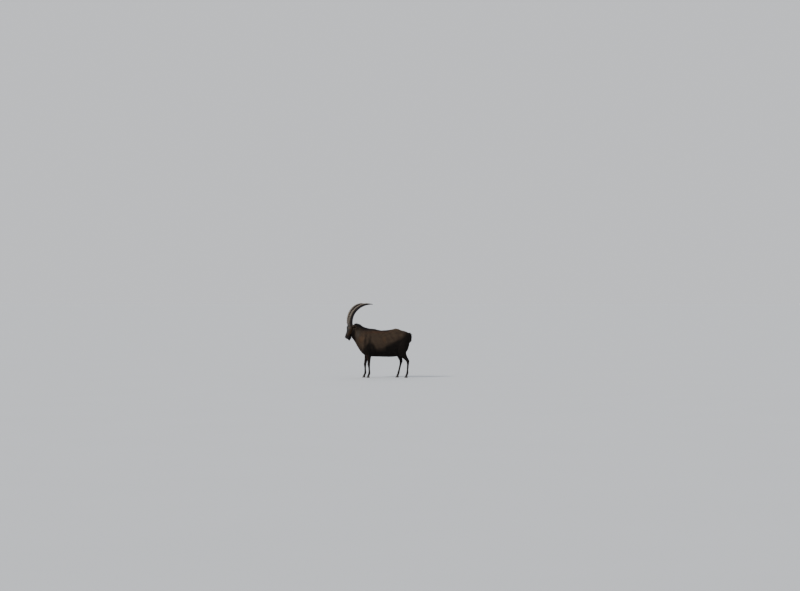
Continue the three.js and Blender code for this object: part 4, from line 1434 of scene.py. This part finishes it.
def makeWhiskers(skinOb, material):
    points = coordinates(skinOb.data)
    local = toHead(points)
    over, _ = mouthPlace(local)
    muzzle = ramp(local[:, 1], 225, 250) * (1 - ramp(local[:, 1], 272, 279)) * ramp(-np.abs(over), -24, -5)
    values = {"root": points, "up": vertexNormals(skinOb.data)}
    t = scatter(skinOb.data, values, muzzle * whiskers["density"], whiskers["seed"])
    count = len(t["root"])
    draw = np.random.default_rng(whiskers["seed"] + 1)
    ways = unit(t["up"]) * 0.9 + alongFace * 0.3 - np.array([0, 0, 0.25]) + draw.normal(0, 0.15, (count, 3))
    reach = draw.uniform(whiskers["shortest"], whiskers["longest"], count) * mm
    print("whiskers:", count)
    return makeBristles("whiskers", t["root"], unit(ways), reach, whiskers, material)


def bristleFinish():
    r = Recipe("bristle")
    fine = r.noise(r.place(), 300, 2)
    colour = r.mottled(fine, (0.010, 0.008, 0.007), (0.028, 0.021, 0.017))
    return r.finish({"Base Color": colour}, {"Roughness": 0.45})


# Eyes


eyeball = {"rings": 40, "sides": 64, "inset": 0.6, "bulge": 1.3, "bulgeAngle": 0.62}


# A ball that bulges in front, with the places of iris and pupil kept on its points
def makeEye(side):
    out = eyeAxes(side)[0]
    level = unit(np.cross([0, 0, 1], out))
    high = np.cross(out, level)
    radius = eye["radius"] - eyeball["inset"]
    rings = []
    for r in range(1, eyeball["rings"]):
        angle = math.pi * r / eyeball["rings"]
        reach = radius + eyeball["bulge"] * math.exp(-((angle / eyeball["bulgeAngle"]) ** 4))
        ring = []
        for i in range(eyeball["sides"]):
            a = 2 * math.pi * i / eyeball["sides"]
            way = out * math.cos(angle) + (level * math.cos(a) + high * math.sin(a)) * math.sin(angle)
            ring.append(eyeCentre(side) + way * reach * mm)
        rings.append(np.array(ring))
    front = eyeCentre(side) + out * (radius + eyeball["bulge"]) * mm
    ob = loftObject("eye_" + sideNames[side] + "_ball", rings, front, eyeCentre(side) - out * radius * mm)
    away = unit(coordinates(ob.data) - eyeCentre(side))
    angle = np.arccos(np.clip(away @ out, -1, 1))
    flat = unit(away - np.outer(away @ out, out)) * angle[:, None]
    store(ob.data, "eyeSpot", "FLOAT_VECTOR", np.stack([flat @ level, flat @ high, angle], 1))
    return ob


# The outline of the lids' rim: how far past the opening, and how far from the middle of the eyeball
lids = {
    "count": 72,
    "outline": [
        (-0.2, 15.5),
        (-0.6, 16.0),
        (-0.1, 16.9),
        (1.3, 17.4),
        (3.2, 17.1),
        (5.2, 15.9),
        (5.2, 14.4),
        (1.5, 14.2),
    ],
    "upperThicker": 0.9,
}


# The rim of the lids as a soft closed ring that rests on the eyeball
def makeLids(side):
    centre = eyeCentre(side)
    halfLength = eye["length"] / 2
    halfHeight = eye["height"] / 2
    points = []
    for i in range(lids["count"]):
        a = 2 * math.pi * i / lids["count"]
        s = halfLength * np.sign(math.cos(a)) * abs(math.cos(a)) ** 0.95
        h = halfHeight * np.sign(math.sin(a)) * abs(math.sin(a)) ** 1.33
        slope = unit(np.array([math.cos(a) / halfLength, math.sin(a) / halfHeight]))
        for offset, reach in lids["outline"]:
            if h > 0 and offset > -0.3:
                reach += lids["upperThicker"] * math.sin(a)
            flat = np.array([s, h]) + slope * offset
            points.append(centre + eyeWay(side, *flat) * reach * mm)
    width = len(lids["outline"])
    faces = []
    for i in range(lids["count"]):
        j = (i + 1) % lids["count"]
        for k in range(width):
            m = (k + 1) % width
            faces.append((i * width + k, j * width + k, j * width + m, i * width + m))
    return outward(meshObject("lids_" + sideNames[side], points, faces))


# Materials


class Wire:
    # One value of a material that can be added, taken away, multiplied and divided
    def __init__(self, recipe, socket):
        self.recipe = recipe
        self.socket = socket

    # A Math node with this value first, or last where it stands behind the operator
    def maths(self, operation, *others, last=False):
        values = [*others, self] if last else [self, *others]
        return self.recipe.node("ShaderNodeMath", {"operation": operation}, dict(enumerate(values)))

    def __add__(self, other):
        return self.maths("ADD", other)

    def __radd__(self, other):
        return self.maths("ADD", other, last=True)

    def __sub__(self, other):
        return self.maths("SUBTRACT", other)

    def __rsub__(self, other):
        return self.maths("SUBTRACT", other, last=True)

    def __mul__(self, other):
        return self.maths("MULTIPLY", other)

    def __rmul__(self, other):
        return self.maths("MULTIPLY", other, last=True)

    def __truediv__(self, other):
        return self.maths("DIVIDE", other)

    def __rtruediv__(self, other):
        return self.maths("DIVIDE", other, last=True)

    def __pow__(self, other):
        return self.maths("POWER", other)

    def __rpow__(self, other):
        return self.maths("POWER", other, last=True)


class Recipe:
    # One material and the nodes in it
    def __init__(self, name):
        self.material = bpy.data.materials.new(name)
        self.material.use_nodes = True
        self.tree = self.material.node_tree
        self.tree.nodes.clear()

    def node(self, kind, settings=None, sockets=None, out=0):
        made = self.tree.nodes.new(kind)
        for key, value in (settings or {}).items():
            setattr(made, key, value)
        for key, value in (sockets or {}).items():
            if isinstance(value, Wire):
                self.tree.links.new(value.socket, made.inputs[key])
            else:
                made.inputs[key].default_value = value
        return Wire(self, made.outputs[out])

    def place(self):
        return self.node("ShaderNodeTexCoord", out="Object")

    def moved(self, vector, scale, rotation=(0, 0, 0)):
        return self.node("ShaderNodeMapping", {}, {"Vector": vector, "Scale": scale, "Rotation": rotation})

    def noise(self, vector, scale, detail):
        sockets = {"Vector": vector, "Scale": scale, "Detail": detail, "Roughness": 0.55}
        return self.node("ShaderNodeTexNoise", {}, sockets)

    def fromTo(self, value, low, high, start=0.0, end=1.0):
        sockets = {"Value": value, "From Min": low, "From Max": high, "To Min": start, "To Max": end}
        return self.node("ShaderNodeMapRange", {"interpolation_type": "SMOOTHSTEP"}, sockets)

    # Two colours, each three numbers or the colour of a node
    def blend(self, share, a, b, how="MIX"):
        a, b = (c if isinstance(c, Wire) else (*c, 1) for c in (a, b))
        sockets = {0: share, 6: a, 7: b}
        return self.node("ShaderNodeMix", {"data_type": "RGBA", "blend_type": how}, sockets, out=2)

    # Two colours in soft blotches, where a noise is low and where it is high
    def mottled(self, noise, a, b):
        return self.blend(self.fromTo(noise, 0.35, 0.65), a, b)

    # A colour made darker or lighter by a number
    def toned(self, colour, tone):
        grey = self.node("ShaderNodeCombineColor", {}, {0: tone, 1: tone, 2: tone})
        return self.blend(1.0, colour, grey, "MULTIPLY")

    def axis(self, vector, which):
        return self.node("ShaderNodeSeparateXYZ", {}, {0: vector}, out="XYZ".index(which))

    def attribute(self, name, out="Fac"):
        return self.node("ShaderNodeAttribute", {"attribute_name": name}, out=out)

    def bump(self, height, strength, distance):
        return self.node("ShaderNodeBump", {}, {"Height": height, "Strength": strength, "Distance": distance})

    def finish(self, varied, fixed):
        surface = self.node("ShaderNodeBsdfPrincipled", {}, {**varied, **fixed})
        output = self.tree.nodes.new("ShaderNodeOutputMaterial")
        self.tree.links.new(surface.socket, output.inputs["Surface"])
        return self.material


def hairFinish():
    r = Recipe("coatHair")
    # Painted shade: each tuft is darker towards its root, deep in the coat, and lighter towards its tip
    depth = r.fromTo(r.attribute("hairAlong"), 0.0, 0.9, 0.55, 1.25)
    grain = r.fromTo(r.noise(r.place(), 420, 2), 0.3, 0.7, 0.8, 1.2)
    colour = r.toned(r.attribute("coatColour", "Color"), depth * grain)
    fixed = {"Roughness": 0.62, "Specular IOR Level": 0.17, "Sheen Weight": 0.03, "Sheen Roughness": 0.4}
    return r.finish({"Base Color": colour}, fixed)


def skinFinish():
    r = Recipe("shortCoat")
    bare = r.attribute("bareSkin")
    place = r.place()
    turn = (math.radians(headPose["nod"] - 90), 0, math.radians(headPose["turn"]))
    streak = r.noise(r.moved(place, (900, 900, 160), turn), 1.0, 3)
    fine = r.noise(place, 700, 2)
    tone = r.fromTo(streak * 0.7 + fine * 0.3, 0.35, 0.65, 0.6, 1.1)
    fur = r.toned(r.attribute("coatColour", "Color"), tone)
    pores = r.node("ShaderNodeTexVoronoi", {}, {"Vector": place, "Scale": 620.0})
    bareHide = r.blend(r.fromTo(pores, 0.1, 0.6), (0.012, 0.010, 0.010), (0.030, 0.024, 0.022))
    colour = r.blend(bare, fur, bareHide)
    rough = r.fromTo(bare, 0.0, 1.0, 0.72, 0.42)
    varied = {"Base Color": colour, "Roughness": rough, "Normal": r.bump(streak, 0.7, 0.0009)}
    return r.finish(varied, {"Specular IOR Level": 0.35})


hornShades = {
    "dark": (0.018, 0.013, 0.011),
    "darkLighter": (0.036, 0.026, 0.020),
    "creamHighlight": (0.23, 0.185, 0.135),
    "front": (0.070, 0.064, 0.058),
    "frontDarker": (0.030, 0.026, 0.025),
    "rearShade": (0.008, 0.006, 0.007),
    "wornKnob": (0.19, 0.165, 0.135),
    "groove": (0.036, 0.027, 0.021),
    "growthLine": (0.030, 0.022, 0.017),
    "tip": (0.024, 0.019, 0.016),
    "cloud": (0.045, 0.034, 0.026),
}


# Grey in front, a cream line beside it that is a painted highlight and near black behind that is painted
# shade, crossed by growth lines, worn on the knobs and with painted shade between them
def hornFinish():
    r = Recipe("hornKeratin")
    place = r.place()
    along = r.attribute("hornAlong")
    knob = r.attribute("hornKnob")
    cloud = r.noise(place, 22, 5)
    grain = r.noise(place, 240, 4)
    warp = r.noise(place, 9, 3)
    rings = (along * 980 + warp * 60 + cloud * 14 + grain * 4).maths("SINE")
    face = r.attribute("hornAhead") + (cloud - 0.5) * 0.6
    base = r.mottled(grain, hornShades["dark"], hornShades["darkLighter"])

    def lay(base, share, colour):
        return r.blend(share, base, colour)

    # Painted highlight: a cream line beside the front, where the light catches the horn
    base = lay(base, r.fromTo(face, 0.40, 0.60) * r.fromTo(along, 0.08, 0.30, 0.25, 1.0), hornShades["creamHighlight"])
    front = r.blend(r.fromTo(along, 0.22, 0.5), hornShades["front"], hornShades["frontDarker"])
    base = lay(base, r.fromTo(face, 0.76, 0.92) * 0.9, front)
    # Painted shade: the back of the horn, away from the light, is near black
    base = lay(base, r.fromTo(face, 0.42, 0.02), hornShades["rearShade"])
    base = lay(base, r.fromTo(knob, 0.45, 0.95) * r.fromTo(face, 0.45, 0.9) * 0.25, hornShades["wornKnob"])
    # Painted shade in the grooves between the knobs
    base = lay(base, r.fromTo(knob, 0.12, -0.08) * r.fromTo(face, -0.1, 0.5) * 0.7, hornShades["groove"])
    base = lay(base, r.fromTo(rings, 0.2, 1.0) * 0.2, hornShades["growthLine"])
    base = lay(base, r.fromTo(along, 0.82, 0.97) * 0.85, hornShades["tip"])
    base = lay(base, r.fromTo(cloud, 0.52, 0.68) * 0.4, hornShades["cloud"])
    height = rings * 0.22 + grain * 1.0 + cloud * 0.6
    rough = r.fromTo(grain, 0.3, 0.7, 0.45, 0.66)
    varied = {"Base Color": base, "Roughness": rough, "Normal": r.bump(height, 0.7, 0.0013)}
    return r.finish(varied, {"Specular IOR Level": 0.25})


def hoofFinish():
    r = Recipe("hoofHorn")
    place = r.place()
    bands = r.noise(r.moved(place, (40, 40, 420)), 1.0, 3)
    base = r.mottled(bands, (0.008, 0.007, 0.006), (0.022, 0.018, 0.016))
    dusty = r.fromTo(r.axis(place, "Z"), 0.010, 0.0) * 0.3
    base = r.blend(dusty, base, (0.075, 0.062, 0.050))
    rough = r.fromTo(r.noise(place, 60, 4), 0.3, 0.7, 0.42, 0.66)
    return r.finish({"Base Color": base, "Roughness": rough, "Normal": r.bump(bands, 0.35, 0.0008)}, {})


irisShades = {"inner": (0.12, 0.052, 0.013), "outer": (0.30, 0.155, 0.042), "rim": (0.06, 0.028, 0.012)}
pupil = {"halfWidth": 0.36, "halfHeight": 0.135, "shade": (0.003, 0.004, 0.007)}
eyeWhite = (0.022, 0.015, 0.012)


def eyeFinish():
    r = Recipe("eyeGlass")
    spot = r.attribute("eyeSpot", "Vector")
    x, y, away = (r.axis(spot, which) for which in "XYZ")
    ray = y.maths("ARCTAN2", x)
    fibres = r.noise(r.node("ShaderNodeCombineXYZ", {}, {0: ray * 5.0, 1: away * 3.0, 2: 0.0}), 2.4, 4)
    colour = r.mottled(fibres, irisShades["inner"], irisShades["outer"])
    colour = r.blend(r.fromTo(away, 0.42, 0.58), colour, irisShades["rim"])
    wide = (x / pupil["halfWidth"]).maths("ABSOLUTE") ** 3.0
    tall = (y / pupil["halfHeight"]).maths("ABSOLUTE") ** 3.0
    colour = r.blend(r.fromTo(wide + tall, 1.15, 0.85), colour, pupil["shade"])
    colour = r.blend(r.fromTo(away, 0.62, 0.68), colour, eyeWhite)
    fixed = {"Roughness": 0.05, "Coat Weight": 0.7, "Coat Roughness": 0.02, "Specular IOR Level": 0.1}
    return r.finish({"Base Color": colour}, fixed)


def lidFinish():
    r = Recipe("lidSkin")
    grain = r.noise(r.place(), 900, 3)
    colour = r.mottled(grain, (0.010, 0.008, 0.008), (0.030, 0.023, 0.021))
    return r.finish({"Base Color": colour, "Normal": r.bump(grain, 0.4, 0.0004)}, {"Roughness": 0.42})


def floorFinish():
    r = Recipe("paleFloor")
    soft = r.noise(r.place(), 0.6, 2)
    colour = r.blend(r.fromTo(soft, 0.3, 0.7), (0.464, 0.482, 0.507), (0.470, 0.488, 0.513))
    return r.finish({"Base Color": colour}, {"Roughness": 0.9, "Specular IOR Level": 0.1})


def setMaterial(ob, material):
    ob.data.materials.clear()
    ob.data.materials.append(material)


# Camera, light and floor, set so that the animal has its place in a picture of 800 by 591

picture = {
    "metresToPixel": 0.019,
    "width": 800,
    "lens": 100,
    "sensor": 36,
    "middleY": 0.418,
    "middleZ": 1.558,
}
studio = {"sky": (0.94, 0.96, 1.0, 1), "skyStrength": 0.8, "floorHalf": 400}
suns = {
    "key": {"strength": 3.4, "towards": (-0.55, 0.62, -0.62), "spread": 14, "colour": (1.0, 0.95, 0.88)},
    "fill": {"strength": 0.8, "towards": (0.7, -0.1, -0.6), "spread": 60, "colour": (0.92, 0.95, 1.0)},
}


def makeCamera():
    data = bpy.data.cameras.new("camera")
    data.lens = picture["lens"]
    data.sensor_width = picture["sensor"]
    data.clip_start = 1.0
    data.clip_end = 900
    away = picture["width"] * picture["metresToPixel"] * picture["lens"] / picture["sensor"]
    ob = linked("camera", data)
    ob.location = (away, picture["middleY"], picture["middleZ"])
    ob.rotation_euler = (math.pi / 2, 0, math.pi / 2)
    bpy.context.scene.camera = ob


def addSun(name, strength, towards, spread, colour):
    data = bpy.data.lights.new(name, "SUN")
    data.energy = strength
    data.angle = math.radians(spread)
    data.color = colour
    linked(name, data).rotation_euler = Vector(towards).to_track_quat("-Z", "Y").to_euler()


def makeStudio():
    world = bpy.data.worlds.new("studio")
    world.use_nodes = True
    back = world.node_tree.nodes["Background"]
    back.inputs["Color"].default_value = studio["sky"]
    back.inputs["Strength"].default_value = studio["skyStrength"]
    bpy.context.scene.world = world
    for name, sun in suns.items():
        addSun(name, **sun)
    far = studio["floorHalf"]
    corners = [(-far, -far, 0), (far, -far, 0), (far, far, 0), (-far, far, 0)]
    floor = meshObject("floor", corners, [(0, 1, 2, 3)], False)
    setMaterial(floor, floorFinish())


# Assembly


# The finish of a piece, the body that it rides on and the nodes that it replaces
def dress(ob, material, slot, *replaced):
    setMaterial(ob, material)
    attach(ob, "root")
    if replaced:
        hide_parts(*replaced)


makeCamera()
makeStudio()
hair = hairFinish()
hide = skinFinish()
skinOb, part, fields = makeSkin()
points = coordinates(skinOb.data)
# Painted shade: the skin between the tufts is darkened, as the hair over it shades it
skinColour = coatColours(points, vertexNormals(skinOb.data)) * 0.8  # a little darker under the hair
paintPoints(skinOb.data, skinColour, 1 - bareShare(points))
flesh = ["head", *[n for names in softNodes.values() for n in names]]
dress(skinOb, hide, "coat_body", *flesh)
slots = {"torso": "coat_body", "neck": "coat_neck", "head": "coat_face", "tail": "coat_tail"}
for ob, name in makeCoat(skinOb, part, fields):
    dress(ob, hair, slots.get(name, "coat_leg"))
dress(makeBeard(skinOb), hair, "beard_hair", "beard")
bristle = bristleFinish()
dress(makeWhiskers(skinOb, bristle), bristle, "coat_face")
print("coat done")

hornMaterial = hornFinish()
eyeMaterial = eyeFinish()
lidMaterial = lidFinish()
for side, label in sideNames.items():
    dress(makeHorn(side), hornMaterial, "horn", "horn_" + label)
    dress(makeEye(side), eyeMaterial, "eye", "eye_" + label)
    dress(makeLids(side), lidMaterial, "coat_face")
    dress(makeLashes(side, bristle), bristle, "coat_face")
    earOb, axes = makeEar(side)
    earCoat = dressEar(earOb, side, axes)
    dress(earOb, hide, "coat_ear", "ear_" + label)
    for ob in earCoat:
        dress(ob, hair, "coat_ear")
print("head done")

hoofMaterial = hoofFinish()
for name in [n for n in nodes if n.startswith("hoof_")]:
    dress(makeClaw(name), hoofMaterial, "hoof", name)
for name in [n for n in nodes if n.startswith("dewclaw_")]:
    dress(makeDewclaw(name), hoofMaterial, "hoof", name)
print("hooves done")
